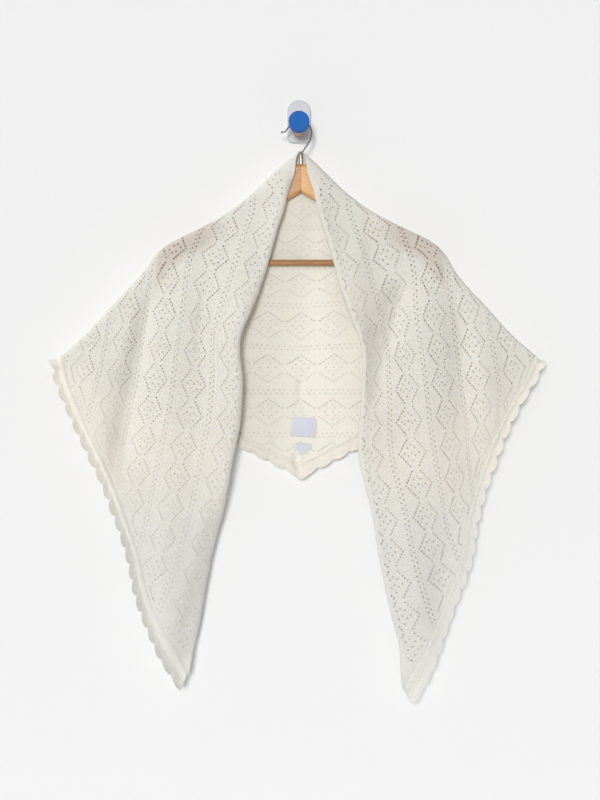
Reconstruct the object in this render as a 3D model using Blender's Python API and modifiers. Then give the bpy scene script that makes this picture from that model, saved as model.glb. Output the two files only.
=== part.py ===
# Triangular lace shawl folded over a wooden hanger, hung from a wall peg
# Metres, +Z up. The viewer looks along +Y, the wall is the plane y = 0 and the
# origin is the middle of the back of the wall plate.

import math

import bmesh
import bpy
import numpy as np
from mathutils import Matrix, Vector

MM = 0.001
GAP = 0.0003
HALF_GAP = 0.00017

# Cloth
CLOTH_THICKNESS = 0.002
LONG_EDGE = 0.880
NECK_HALF = 0.0085
CUT_DEPTH = 0.505
ELBOW_ALONG = 0.389
ELBOW_DEPTH = 0.327
FOLD_RADIUS = 0.0083
FOLD_REACH = 0.11
FREE_BELOW = -0.236
EDGING_WIDTH = 0.015
SCALLOP_RISE = 0.005
FRONT_SCALLOPS = 21
BACK_SCALLOPS = 15
STATIONS_A_SCALLOP = 4
ROLL_WIDTH = 0.014
ROLL_RADIUS = 0.0058
SPLIT_BEHIND = 0.00554
HEM_BOW = 0.006
NARROW = 0.0012

# Rows and columns of the cloth walls, distances from each edge in metres
FOLD_ROWS = 22
ROLL_COLUMNS = (0.0, 0.0047, 0.0094, 0.014)
FOLD_COLUMNS = (0.0, 0.004, 0.008, 0.012, 0.018)
FRONT_COLUMNS = 5
POINT_ALONG = 0.400
MIDDLE_COLUMNS = (0.0, 0.010, 0.022)
BEHIND_COLUMNS = (0.0, 0.005, 0.011)
BACK_COLUMNS = 3
EDGING_COLUMNS = (0.0, 0.5, 1.0)

# Hanger and hook
HANGER_X = 0.0032
HANGER_Y = -0.036
HANGER_WOOD = 0.011
NECK_TOP = -0.0576
BAR_RADIUS = 0.0047
BAR_HEIGHT = -0.2270
BAR_SEAT = 0.1720
WIRE_RADIUS = 0.0015
HOOK_ARC_X = 0.0008
HOOK_ARC_Z = -0.0234
HOOK_ARC_RADIUS = 0.0196
SLEEVE_RADIUS = 0.0026
SLEEVE_LENGTH = 0.0135
ARM_ROUND = 0.0050
ARM_CLEAR = 0.0004
ARM_TIP_CLEAR = 0.0009
ARM_POINTS = 14
ARM_TOP_FROM = 0.042
ARM_TOP_TO = 0.217
ARM_TIP_FROM = 0.16
TIP_RADIUS = 0.0021

# Wall plate and peg
PLATE_WIDTH = 0.0374
PLATE_HEIGHT = 0.0680
PLATE_THICKNESS = 0.008
PLATE_CORNER = 0.008
PLATE_ROUND = 0.003
PEG_RADIUS = 0.008
PEG_TILT = math.radians(9.0)
PEG_LEVEL = -0.0137
PEG_END = 0.0520
HEAD_RADIUS = 0.0163
HEAD_THICKNESS = 0.0145
HEAD_ROUND = 0.0016

# Labels
LABEL_WIDTH = 0.0375
LABEL_HEIGHT = 0.028
LABEL_MIDDLE = (0.0040, 0.4300)
LABEL_TURN = math.radians(-4.6)
TAG_WIDTH = 0.027
TAG_HEIGHT = 0.016
TAG_MIDDLE = (0.0026, 0.4640)
LABEL_THICKNESS = 0.001
LABEL_LIFT = 0.0002
TAG_LIFT = 0.0006

# Worn corners of each half: distance out from the hanger's middle, height
SIDES = {
    "left": {"sign": -1.0, "elbow": (0.3855, -0.3825), "tip": (0.1876, -0.8973)},
    "right": {"sign": 1.0, "elbow": (0.3765, -0.3830), "tip": (0.1767, -0.9200)},
}

# Shoulder line of the cloth, millimetres: distance out, height left, right
SHOULDER_LINE = [
    (8.5, -57.6, -57.6),
    (38.0, -82.0, -86.0),
    (70.0, -114.0, -117.0),
    (98.0, -136.5, -138.5),
    (133.0, -160.0, -159.5),
    (177.0, -183.0, -181.0),
    (209.0, -199.5, -198.0),
    (228.0, -216.0, -218.0),
    (242.0, -236.0, -242.0),
    (285.0, -283.0, -291.0),
    (335.0, -337.0, -345.0),
    (386.0, -384.5, -388.0),
]

# Sideways set of the long edge, millimetres outward: height, left, right
EDGE_SET = [
    (-60, 0, 0),
    (-102, -11, -7),
    (-135, -12, -9),
    (-177, -8, -6),
    (-224, -6, -3),
    (-266, -3, -2),
    (-300, 2, 2),
    (-338, 9, 9),
    (-370, 6, 12),
    (-405, -4, 6),
    (-441, -10, 0),
    (-491, -15, -14),
    (-525, -14, -20),
    (-572, -15, -19),
    (-611, -16, -16),
    (-683, -13, -19),
    (-760, -16, -19),
    (-800, -20, -18),
    (-830, -18, -17),
    (-866, -9, -19),
    (-894, 0, -14),
    (-925, 0, 0),
]

# Sideways set of the scalloped edge, millimetres outward: share of the way
# from elbow to tip, left, right
HEM_SET = [
    (0.00, 0, 0),
    (0.06, 5, -3),
    (0.12, 5, -11),
    (0.20, 3, -17),
    (0.32, -3, -17),
    (0.46, -3, -10),
    (0.58, 0, 4),
    (0.70, 11, 6),
    (0.82, 13, 7),
    (0.93, 10, 7),
    (1.00, 2, 0),
]

# Soft folds of the fronts, millimetres: side, top out, top height, foot out,
# foot height, depth towards the viewer, half width at the top, at the foot
FRONT_FOLDS = [
    ("left", 236, -250, 286, -520, -9, 12, 20),
    ("left", 180, -235, 214, -560, 6, 26, 34),
    ("left", 110, -190, 128, -520, 7, 24, 34),
    ("left", 84, -150, 96, -470, 5, 16, 22),
    ("left", 118, -590, 184, -860, -13, 16, 20),
    ("left", 205, -560, 215, -800, 6, 30, 26),
    ("left", 330, -380, 300, -560, 5, 24, 24),
    ("right", 150, -250, 112, -345, -9, 14, 20),
    ("right", 112, -330, 104, -440, -8, 18, 20),
    ("right", 232, -240, 262, -560, -9, 13, 24),
    ("right", 196, -240, 196, -560, 7, 24, 34),
    ("right", 84, -160, 92, -300, 7, 16, 22),
    ("right", 296, -330, 284, -520, 5, 30, 34),
    ("right", 160, -560, 176, -800, 6, 30, 26),
    ("right", 240, -600, 214, -800, -6, 24, 20),
]

# Soft folds of the back, millimetres: x out from the middle, top height, foot
# out, foot height, depth towards the wall, half width at the top, at the foot
BACK_FOLDS = [
    (-2, -405, -4, -455, 6, 5, 9),
    (-12, -526, -5, -556, 5, 4, 7),
    (-70, -250, -100, -470, 5, 30, 40),
    (76, -250, 104, -470, 5, 30, 40),
    (-190, -260, -230, -430, -5, 34, 40),
    (186, -260, 228, -430, -5, 34, 40),
    (30, -140, 60, -420, -3, 26, 34),
]

# Depth of both layers behind and before the hanger, millimetres further from
# the hanger's middle plane: height, front, back
LAYER_SET = [
    (-50, 0.0, 0.0),
    (-200, 0.5, 0.5),
    (-260, 1.5, 2.0),
    (-420, 5.0, 7.0),
    (-560, 6.0, 8.0),
    (-740, 3.0, 8.0),
    (-930, -4.0, 8.0),
]

# How far the long edge stands forward of the hanger, millimetres: height, stand
EDGE_STAND = [(-60, 0), (-90, 5), (-120, 10), (-250, 12), (-330, 10), (-420, 6), (-560, 3), (-930, 0)]

# Upper edge of a hanger arm by the hook, millimetres: distance out, height
ARM_NECK = [(0.0, -72.9), (10.0, -72.9), (23.0, -77.4)]

# Lower edge of a hanger arm, millimetres: distance out, height
ARM_LOWER_EDGE = [
    (0.0, -116.8),
    (20.0, -129.0),
    (60.0, -150.0),
    (100.0, -173.0),
    (140.0, -196.0),
    (172.0, -214.0),
]

# Outer end of a hanger arm, millimetres: distance out, height
ARM_END = [(172.0, -236.0), (188.0, -240.0), (206.0, -238.0), (218.0, -230.0), (222.5, -219.0)]

# Route of the hook's wire, millimetres: x, height, from the hanger to the arc
# round the peg, and past the arc to the tip
HOOK_FOOT = [(3.2, -72.6), (3.2, -58.5), (4.8, -54.5), (17.0, -36.5)]
HOOK_END = [(-19.2, -18.2), (-21.4, -21.2), (-24.2, -22.1)]
HOOK_ARC_FROM = -20.0
HOOK_ARC_TO = 152.0
HOOK_ARC_POINTS = 16

MATERIALS = {
    "cream_knit": ((0.83, 0.80, 0.72), 0.95, 0.0),
    "beech": ((0.66, 0.40, 0.20), 0.50, 0.0),
    "bar_wood": ((0.36, 0.20, 0.10), 0.50, 0.0),
    "steel": ((0.55, 0.55, 0.56), 0.25, 1.0),
    "white_plate": ((0.80, 0.80, 0.85), 0.40, 0.0),
    "pale_wood": ((0.74, 0.55, 0.38), 0.55, 0.0),
    "blue_lacquer": ((0.014, 0.150, 0.520), 0.35, 0.0),
    "satin_label": ((0.86, 0.86, 0.90), 0.40, 0.0),
}


# Scene

def clear_scene():
    for item in list(bpy.data.objects):
        bpy.data.objects.remove(item, do_unlink=True)


def new_collection(name):
    group = bpy.data.collections.new(name)
    bpy.context.scene.collection.children.link(group)
    return group


def material(name):
    known = bpy.data.materials.get(name)
    if known:
        return known
    colour, roughness, metallic = MATERIALS[name]
    made = bpy.data.materials.new(name)
    made.use_nodes = True
    shader = made.node_tree.nodes["Principled BSDF"]
    shader.inputs["Base Color"].default_value = (*colour, 1.0)
    shader.inputs["Roughness"].default_value = roughness
    shader.inputs["Metallic"].default_value = metallic
    return made


def keep(item, name, finish, group):
    item.name = name
    item.data.name = name
    item.data.materials.clear()
    item.data.materials.append(material(finish))
    for holder in list(item.users_collection):
        holder.objects.unlink(item)
    group.objects.link(item)
    return item


def smooth_mesh(mesh, angle=40.0):
    mesh.shade_smooth()
    mesh.set_sharp_from_angle(angle=math.radians(angle))


# Curves through the tables

def column(table, index):
    return np.array([row[index] for row in table], dtype=float)


def soft_curve(x, xs, ys):
    """Cubic through the table's points, level with their neighbours' slope."""
    order = np.argsort(xs)
    xs = np.asarray(xs, float)[order]
    ys = np.asarray(ys, float)[order]
    slopes = np.gradient(ys, xs)
    x = np.clip(x, xs[0], xs[-1])
    i = np.clip(np.searchsorted(xs, x, side="right") - 1, 0, len(xs) - 2)
    width = xs[i + 1] - xs[i]
    u = (x - xs[i]) / width
    start = (1 + 2 * u) * (1 - u) ** 2 * ys[i] + u * (1 - u) ** 2 * width * slopes[i]
    end = u * u * (3 - 2 * u) * ys[i + 1] + u * u * (u - 1) * width * slopes[i + 1]
    return start + end


def ease(x):
    x = np.clip(x, 0.0, 1.0)
    return x * x * (3 - 2 * x)


# Flat cut of one half: along the long edge, depth from it

FLAT_MIDDLE = np.array([0.0, 0.0])
FLAT_NECK = np.array([NECK_HALF, 0.0])
FLAT_ELBOW = np.array([ELBOW_ALONG, ELBOW_DEPTH])
FLAT_TIP = np.array([LONG_EDGE, 0.0])
FLAT_POINT = np.array([0.0, CUT_DEPTH])
FOLD_WAY = (FLAT_ELBOW - FLAT_NECK) / np.linalg.norm(FLAT_ELBOW - FLAT_NECK)
FOLD_FRONT = np.array([FOLD_WAY[1], -FOLD_WAY[0]])


def from_fold(along, depth):
    """Flat distance from the fold line, positive on the front."""
    return (along - FLAT_NECK[0]) * FOLD_FRONT[0] + (depth - FLAT_NECK[1]) * FOLD_FRONT[1]


def carried(along, depth, flat, worn):
    """Point of a flat triangle carried with its three corners."""
    a, b, c = flat
    area = (b[0] - a[0]) * (c[1] - a[1]) - (b[1] - a[1]) * (c[0] - a[0])
    share_b = ((along - a[0]) * (c[1] - a[1]) - (depth - a[1]) * (c[0] - a[0])) / area
    share_c = ((b[0] - a[0]) * (depth - a[1]) - (b[1] - a[1]) * (along - a[0])) / area
    share_a = 1 - share_b - share_c
    out = share_a * worn[0][0] + share_b * worn[1][0] + share_c * worn[2][0]
    height = share_a * worn[0][1] + share_b * worn[1][1] + share_c * worn[2][1]
    return out, height


def fold_depth(out, height, top, foot, depth, wide_top, wide_foot):
    """Depth of one soft fold at a place: a smooth ridge or trough on a line."""
    way = np.array([foot[0] - top[0], foot[1] - top[1]])
    length = np.hypot(*way)
    way /= length
    along = ((out - top[0]) * way[0] + (height - top[1]) * way[1]) / length
    across = (out - top[0]) * way[1] - (height - top[1]) * way[0]
    wide = wide_top + (wide_foot - wide_top) * np.clip(along, 0, 1)
    ends = ease((along + 0.10) / 0.35) * ease((1.2 - along) / 0.35)
    if depth < 0:
        ends = ends * ease((FREE_BELOW - height) / 0.05)
    return depth * ends * np.exp(-((across / wide) ** 2))


def hem_share(along):
    """Share of the way from the elbow to the tip, along the cut."""
    return np.clip((along - ELBOW_ALONG) / (LONG_EDGE - ELBOW_ALONG), 0, 1)


def worn_layer(side, along, depth):
    """Middle of the worn cloth at a point of the flat cut, without the rolled edge."""
    shape = SIDES[side]
    pick = 1 if side == "left" else 2
    elbow = shape["elbow"]
    neck = (NECK_HALF * elbow[0] / ELBOW_ALONG, NECK_TOP)
    front = carried(along, depth, (FLAT_NECK, FLAT_ELBOW, FLAT_TIP), (neck, elbow, shape["tip"]))
    back = carried(
        along,
        depth,
        (FLAT_MIDDLE, FLAT_ELBOW, FLAT_POINT),
        ((0.0, NECK_TOP), elbow, (0.0, NECK_TOP - CUT_DEPTH)),
    )
    off = from_fold(along, depth)
    is_front = off >= 0
    out = np.where(is_front, front[0], back[0])
    height = np.where(is_front, front[1], back[1])

    # Rounded fold, and the shoulder line's rise over the straight fold
    far = np.abs(off)
    turn = np.minimum(far / FOLD_RADIUS, math.pi / 2)
    inward = FOLD_RADIUS * (1 - np.cos(turn)) + np.maximum(far - FOLD_RADIUS * math.pi / 2, 0)
    chord = np.array([elbow[0] - neck[0], elbow[1] - neck[1]])
    chord_length = np.hypot(*chord)
    chord /= chord_length
    line_out = column(SHOULDER_LINE, 0) * MM
    line_height = column(SHOULDER_LINE, pick) * MM
    line_along = (line_out - neck[0]) * chord[0] + (line_height - neck[1]) * chord[1]
    line_rise = -(line_out - neck[0]) * chord[1] + (line_height - neck[1]) * chord[0]
    place = (out - neck[0]) * chord[0] + (height - neck[1]) * chord[1]
    rise = soft_curve(place, line_along, line_rise)
    rise = rise * ease((chord_length + 0.02 - place) / 0.06)
    move = (rise + far - inward) / (1 + (far / FOLD_REACH) ** 2)
    middle = ease(along / 0.05)
    out = out - move * chord[1] * middle
    height = height + move * chord[0]

    # Set of the long edge and of the scalloped edge
    edge = soft_curve(height, column(EDGE_SET, 0) * MM, column(EDGE_SET, pick) * MM)
    clear_of_fold = np.where(is_front, ease(far / 0.03), 0.0)
    share = hem_share(along)
    hem = soft_curve(share, column(HEM_SET, 0), column(HEM_SET, pick) * MM)
    to_hem = np.maximum(ELBOW_DEPTH * (1 - share) - depth, 0)
    across = ease(np.maximum(depth, 0) / (np.maximum(depth, 0) + to_hem + NARROW))
    near_edge = np.exp(-((depth / 0.11) ** 2)) * (1 - across)
    near_hem = np.exp(-((to_hem / 0.09) ** 2)) * across
    out = out + clear_of_fold * (edge * near_edge + hem * near_hem)

    # Depth: round the fold, then the layers' set and their soft folds
    settle = 1 - np.exp(-((far / 0.045) ** 2))
    layer = column(LAYER_SET, 0) * MM
    front_depth = soft_curve(height, layer, column(LAYER_SET, 1) * MM)
    stand = soft_curve(height, column(EDGE_STAND, 0) * MM, column(EDGE_STAND, 1) * MM)
    front_depth = front_depth * settle
    for name, *row in FRONT_FOLDS:
        if name == side:
            top_out, top_z, foot_out, foot_z, deep, wide_top, wide_foot = (v * MM for v in row)
            front_depth = front_depth + settle * fold_depth(
                out, height, (top_out, top_z), (foot_out, foot_z), deep, wide_top, wide_foot
            )
    front_depth = front_depth + stand * np.exp(-((depth / 0.035) ** 2)) * ease(far / 0.02)
    back_depth = soft_curve(height, layer, column(LAYER_SET, 2) * MM) * settle
    for row in BACK_FOLDS:
        top_x, top_z, foot_x, foot_z, deep, wide_top, wide_foot = (v * MM for v in row)
        back_depth = back_depth + settle * fold_depth(
            out * shape["sign"], height, (top_x, top_z), (foot_x, foot_z), deep, wide_top, wide_foot
        )
    round_y = FOLD_RADIUS * np.sin(turn)
    y = np.where(is_front, HANGER_Y - round_y - front_depth, HANGER_Y + round_y + back_depth)
    x = HANGER_X + shape["sign"] * out
    return np.stack([x, y, height], axis=-1)


def cloth(side, along, depth):
    """Middle of the worn cloth, with its long edge rolled back on the front."""
    along, depth = np.broadcast_arrays(np.asarray(along, float), np.asarray(depth, float))
    flat = np.maximum(depth, ROLL_WIDTH)
    edge = worn_layer(side, along, flat)
    inner = worn_layer(side, along, flat + 0.002)
    over = (edge - inner) / np.linalg.norm(edge - inner, axis=-1, keepdims=True)
    left = np.maximum(ROLL_WIDTH - depth, 0)
    turn = left / ROLL_RADIUS
    rolled = edge + over * (ROLL_RADIUS * np.sin(turn))[..., None]
    rolled = rolled + np.stack([turn * 0, ROLL_RADIUS * (1 - np.cos(turn)), turn * 0], axis=-1)
    share = (ease((along - 0.03) / 0.07) * ease((LONG_EDGE - along) / 0.12))[..., None]
    return worn_layer(side, along, depth) * (1 - share) + rolled * share


def cloth_out(side, along, depth):
    """Unit normal of the worn cloth, from its neighbouring points."""
    step = 0.0004
    a = cloth(side, along + step, depth) - cloth(side, along - step, depth)
    b = cloth(side, along, depth + step) - cloth(side, along, depth - step)
    normal = np.cross(a, b) * SIDES[side]["sign"]
    return normal / np.linalg.norm(normal, axis=-1, keepdims=True)


# Scalloped edge of the flat cut, and lines inside it

def corners_inside(inset):
    """Back point, elbow and tip of a line a square distance inside the hem."""
    first = (FLAT_ELBOW - FLAT_POINT) / np.linalg.norm(FLAT_ELBOW - FLAT_POINT)
    second = (FLAT_TIP - FLAT_ELBOW) / np.linalg.norm(FLAT_TIP - FLAT_ELBOW)
    into_first = np.array([first[1], -first[0]])
    into_second = np.array([second[1], -second[0]])
    into_elbow = into_first + into_second
    into_elbow /= into_elbow @ into_first
    point = FLAT_POINT - np.array([0.0, inset / first[0]])
    tip = FLAT_TIP + np.array([inset / second[1], 0.0])
    return point, FLAT_ELBOW + into_elbow * inset, tip


def edge_line(share, inset):
    """Along and depth on the line inside the hem: point at 0, elbow 1, tip 2."""
    share = np.asarray(share, float)
    point, elbow, tip = corners_inside(inset)
    first = np.clip(share, 0, 1)
    second = np.clip(share - 1, 0, 1)
    along = point[0] + (elbow[0] - point[0]) * first + (tip[0] - elbow[0]) * second
    depth = point[1] + (elbow[1] - point[1]) * first + (tip[1] - elbow[1]) * second
    return along, depth - HEM_BOW * np.sin(math.pi * first)


def share_at_split(inset, off):
    """Where that line crosses the line at a distance from the fold."""
    shares = np.linspace(0.5, 1.5, 2001)
    return float(np.interp(off, from_fold(*edge_line(shares, inset)), shares))


# Walls

def wall(name, sheets, finish, group, thickness=CLOTH_THICKNESS, lift=0.0):
    """Closed wall round one or more grids of (points, normals), joined edge to edge."""
    points = np.concatenate([p for p, _ in sheets], axis=1)
    normals = np.concatenate([n for _, n in sheets], axis=1)
    rows, columns = points.shape[:2]
    top = points + normals * (lift + thickness / 2)
    foot = points + normals * (lift - thickness / 2)
    mesh = bmesh.new()
    upper = [[mesh.verts.new(top[i, j]) for j in range(columns)] for i in range(rows)]
    lower = [[mesh.verts.new(foot[i, j]) for j in range(columns)] for i in range(rows)]
    for i in range(rows - 1):
        for j in range(columns - 1):
            a, b, c, d = (i, j), (i, j + 1), (i + 1, j + 1), (i + 1, j)
            mesh.faces.new([upper[p][q] for p, q in (a, b, c, d)])
            mesh.faces.new([lower[p][q] for p, q in (d, c, b, a)])
    ring = [(0, j) for j in range(columns)]
    ring += [(i, columns - 1) for i in range(1, rows)]
    ring += [(rows - 1, j) for j in range(columns - 2, -1, -1)]
    ring += [(i, 0) for i in range(rows - 2, 0, -1)]
    for (i, j), (k, m) in zip(ring, ring[1:] + ring[:1]):
        mesh.faces.new([upper[k][m], upper[i][j], lower[i][j], lower[k][m]])
    if mesh.calc_volume(signed=True) < 0:
        bmesh.ops.reverse_faces(mesh, faces=mesh.faces)
    data = bpy.data.meshes.new(name)
    mesh.to_mesh(data)
    mesh.free()
    smooth_mesh(data)
    item = bpy.data.objects.new(name, data)
    group.objects.link(item)
    return keep(item, name, finish, group)


def sheet_of(side, along, depth):
    return cloth(side, along, depth), cloth_out(side, along, depth)


def split_rows(corner, inset, off):
    """Flat points on the line behind the fold, from the neck to the edging's seam."""
    end = np.array([float(v) for v in edge_line(corner, inset)])
    reach = (end - FLAT_NECK) @ FOLD_WAY
    first = NARROW - FLAT_NECK @ FOLD_WAY
    place = np.linspace(first, reach, FOLD_ROWS)[:, None]
    points = FLAT_NECK + FOLD_WAY * place + FOLD_FRONT * off
    return points[:, 0], points[:, 1]


def spread(reach, near, far, between):
    """Places from 0 to a reach: set ones at each end, even ones between them."""
    scale = min(1.0, reach / (2.2 * (near[-1] + far[-1])))
    low = np.array(near) * scale
    high = reach - np.array(far[::-1]) * scale
    return np.concatenate([low, np.linspace(low[-1], high[0], between + 2)[1:-1], high])


# Shawl

def front_panel(side, group):
    """Front of one half in two walls: the part on the hanger, and the point that hangs below it."""
    off = HALF_GAP - SPLIT_BEHIND
    inset = EDGING_WIDTH + HALF_GAP
    corner = share_at_split(inset, off)
    fold_along, fold_reach = split_rows(corner, inset, off)
    steps = seam_steps(FRONT_SCALLOPS, 9)
    shares = np.minimum(corner + (2 - corner) * steps, 2 - NARROW)
    seam_along, seam_reach = edge_line(shares, inset)
    along = np.concatenate([fold_along, seam_along])
    reach = np.concatenate([fold_reach, seam_reach])
    parting = int(np.searchsorted(along, POINT_ALONG))
    ends = along[parting] + np.array([-HALF_GAP, HALF_GAP])
    end_reach = np.interp(ends, along, reach)
    upper = np.append(along[:parting], ends[0]), np.append(reach[:parting], end_reach[0])
    lower = np.append(ends[1], along[parting + 1:]), np.append(end_reach[1], reach[parting + 1:])
    for name, (rows, reaches) in (("shawl_front", upper), ("shawl_point", lower)):
        depth = np.array([spread(r, ROLL_COLUMNS, FOLD_COLUMNS, FRONT_COLUMNS) for r in reaches])
        rows = np.repeat(rows[:, None], depth.shape[1], axis=1)
        wall(f"{name}_{side}", [sheet_of(side, rows, depth)], "cream_knit", group)


def seam_steps(scallops, half_rows):
    """Shares of the seam's length: a row for each scallop, closer rows at its start and end."""
    parts = scallops * STATIONS_A_SCALLOP
    half = STATIONS_A_SCALLOP // 2
    first = np.arange(1, STATIONS_A_SCALLOP)
    second = np.arange(STATIONS_A_SCALLOP, half_rows * STATIONS_A_SCALLOP, half)
    third = np.arange(half_rows * STATIONS_A_SCALLOP, parts - 2 * STATIONS_A_SCALLOP, STATIONS_A_SCALLOP)
    last = np.arange(parts - 2 * STATIONS_A_SCALLOP, parts + 1)
    return np.concatenate([first, second, third, last]) / parts


def back_panel(group):
    off = -HALF_GAP - SPLIT_BEHIND
    inset = EDGING_WIDTH + HALF_GAP
    corner = share_at_split(inset, off)
    fold_reach, fold_depth_rows = split_rows(corner, inset, off)
    shares = np.maximum(corner * (1 - seam_steps(BACK_SCALLOPS, 2)), NARROW)
    seam_reach, seam_depth = edge_line(shares, inset)
    depth = np.concatenate([fold_depth_rows, seam_depth])
    reach = np.concatenate([fold_reach, seam_reach])
    along = np.array([spread(r, MIDDLE_COLUMNS, BEHIND_COLUMNS, BACK_COLUMNS) for r in reach])
    depth = np.repeat(depth[:, None], along.shape[1], axis=1)
    left = sheet_of("left", along[:, ::-1], depth[:, ::-1])
    right = sheet_of("right", along[:, 1:], depth[:, 1:])
    wall("shawl_back", [left, right], "cream_knit", group)


def edging_lines(finish, scallops, off):
    """Flat points across an edging strip, a station for each part of a scallop."""
    stations = scallops * STATIONS_A_SCALLOP
    step = np.arange(stations + 1) / stations
    lobe = SCALLOP_RISE * np.abs(np.sin(math.pi * step * scallops)) ** 0.7
    lines = []
    for place in EDGING_COLUMNS:
        inset = (EDGING_WIDTH - HALF_GAP) * (1 - place)
        first = share_at_split(inset, off)
        share = first + (finish - first) * step
        lines.append(edge_line_out(share, inset, lobe * place))
    along = np.stack([a for a, _ in lines], axis=1)
    depth = np.stack([d for _, d in lines], axis=1)
    return along, depth


def edge_line_out(share, inset, rise):
    """Points on a line inside the hem, moved outwards by the lobes' rise."""
    along, depth = edge_line(share, inset)
    near_a, near_d = edge_line(share, inset + 0.001)
    way = np.stack([along - near_a, depth - near_d], axis=-1)
    way /= np.linalg.norm(way, axis=-1, keepdims=True)
    return along + way[..., 0] * rise, depth + way[..., 1] * rise


def edgings(group):
    for side in SIDES:
        along, depth = edging_lines(2.0, FRONT_SCALLOPS, HALF_GAP - SPLIT_BEHIND)
        wall(f"edging_front_{side}", [sheet_of(side, along, depth)], "cream_knit", group)
    along, depth = edging_lines(0.0, BACK_SCALLOPS, -HALF_GAP - SPLIT_BEHIND)
    left = sheet_of("left", along, depth)
    right = sheet_of("right", along[-2::-1], depth[-2::-1])
    points = np.concatenate([left[0], right[0]], axis=0)
    normals = np.concatenate([left[1], right[1]], axis=0)
    wall("edging_back", [(points, normals)], "cream_knit", group)


def back_sheet(across, depth):
    """Points and normals of the back, by signed distance from its middle."""
    left = sheet_of("left", np.abs(across), depth)
    right = sheet_of("right", np.abs(across), depth)
    on_left = (across < 0)[..., None]
    return np.where(on_left, left[0], right[0]), np.where(on_left, left[1], right[1])


def labels(group):
    lift = -(CLOTH_THICKNESS + LABEL_THICKNESS) / 2 - GAP
    u, v = np.meshgrid(np.linspace(-0.5, 0.5, 6), np.linspace(-0.5, 0.5, 5), indexing="ij")
    across = u * LABEL_WIDTH
    down = v * LABEL_HEIGHT
    turned_across = across * math.cos(LABEL_TURN) + down * math.sin(LABEL_TURN)
    turned_down = down * math.cos(LABEL_TURN) - across * math.sin(LABEL_TURN)
    sheet = back_sheet(LABEL_MIDDLE[0] + turned_across, LABEL_MIDDLE[1] + turned_down)
    wall("label", [sheet], "satin_label", group, LABEL_THICKNESS, lift - LABEL_LIFT)
    half = TAG_WIDTH / 2 * (1 - 0.93 * (v + 0.5) ** 1.7)
    sheet = back_sheet(TAG_MIDDLE[0] + 2 * u * half, TAG_MIDDLE[1] + v * TAG_HEIGHT)
    wall("care_tag", [sheet], "satin_label", group, LABEL_THICKNESS, lift - TAG_LIFT)


# Hanger

def outline_solid(points, thickness, name):
    """Flat outline in the upright plane, thickened both ways."""
    curve = bpy.data.curves.new(name, "CURVE")
    curve.dimensions = "2D"
    curve.fill_mode = "BOTH"
    curve.extrude = thickness / 2
    spline = curve.splines.new("POLY")
    spline.points.add(len(points) - 1)
    for point, (x, z) in zip(spline.points, points):
        point.co = (x, z, 0.0, 1.0)
    spline.use_cyclic_u = True
    guide = bpy.data.objects.new(name, curve)
    guide.rotation_euler = (math.pi / 2, 0.0, 0.0)
    bpy.context.scene.collection.objects.link(guide)
    bpy.context.view_layer.update()
    read = guide.evaluated_get(bpy.context.evaluated_depsgraph_get())
    data = bpy.data.meshes.new_from_object(read)
    data.transform(guide.matrix_world)
    bpy.data.objects.remove(guide, do_unlink=True)
    mesh = bmesh.new()
    mesh.from_mesh(data)
    bmesh.ops.remove_doubles(mesh, verts=mesh.verts, dist=0.00001)
    return mesh, data


def finish_mesh(mesh, data, name, finish, group, angle=40.0):
    bmesh.ops.recalc_face_normals(mesh, faces=mesh.faces)
    mesh.to_mesh(data)
    mesh.free()
    smooth_mesh(data, angle)
    item = bpy.data.objects.new(name, data)
    group.objects.link(item)
    return keep(item, name, finish, group)


def arm_outline():
    """Outline of one arm from the middle joint: its top under the cloth, its end, its lower edge."""
    seat = CLOTH_THICKNESS / 2 + GAP + ARM_CLEAR
    line_out = column(SHOULDER_LINE, 0) * MM
    line_height = np.minimum(column(SHOULDER_LINE, 1), column(SHOULDER_LINE, 2)) * MM
    top = [(max(x * MM, HALF_GAP), z * MM) for x, z in ARM_NECK]
    for out in np.linspace(ARM_TOP_FROM, ARM_TOP_TO, ARM_POINTS):
        step = 0.0005
        drop = seat + ARM_TIP_CLEAR * float(ease((out - ARM_TIP_FROM) / 0.03))
        rise = soft_curve(out + step, line_out, line_height) - soft_curve(out - step, line_out, line_height)
        way = np.array([2 * step, float(rise)])
        way /= np.linalg.norm(way)
        top.append((out + way[1] * drop, float(soft_curve(out, line_out, line_height)) - way[0] * drop))
    end = [(x * MM, z * MM) for x, z in reversed(ARM_END)]
    lower = [(max(x * MM, HALF_GAP), z * MM) for x, z in reversed(ARM_LOWER_EDGE)]
    return top + end + lower


def hanger(group):
    half = arm_outline()
    for side, sign in (("left", -1), ("right", 1)):
        outline = [(HANGER_X + sign * x, z) for x, z in half]
        joint = outline[0][0]
        mesh, data = outline_solid(outline, HANGER_WOOD, f"hanger_arm_{side}")
        bmesh.ops.translate(mesh, verts=mesh.verts, vec=(0, HANGER_Y, 0))
        rims = [
            e
            for e in mesh.edges
            if abs(e.verts[0].co.y - e.verts[1].co.y) < 1e-6
            and e.calc_face_angle(0) > math.radians(60)
            and any(abs(v.co.x - joint) > 1e-5 for v in e.verts)
        ]
        bmesh.ops.bevel(mesh, geom=rims, offset=ARM_ROUND, segments=3, profile=0.5, affect="EDGES")
        finish_mesh(mesh, data, f"hanger_arm_{side}", "beech", group)
    bpy.ops.mesh.primitive_cylinder_add(
        vertices=20,
        radius=BAR_RADIUS,
        depth=2 * (BAR_SEAT - GAP),
        location=(HANGER_X, HANGER_Y, BAR_HEIGHT),
        rotation=(0, math.pi / 2, 0),
    )
    bar = keep(bpy.context.object, "trouser_bar", "bar_wood", group)
    smooth_mesh(bar.data)


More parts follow.
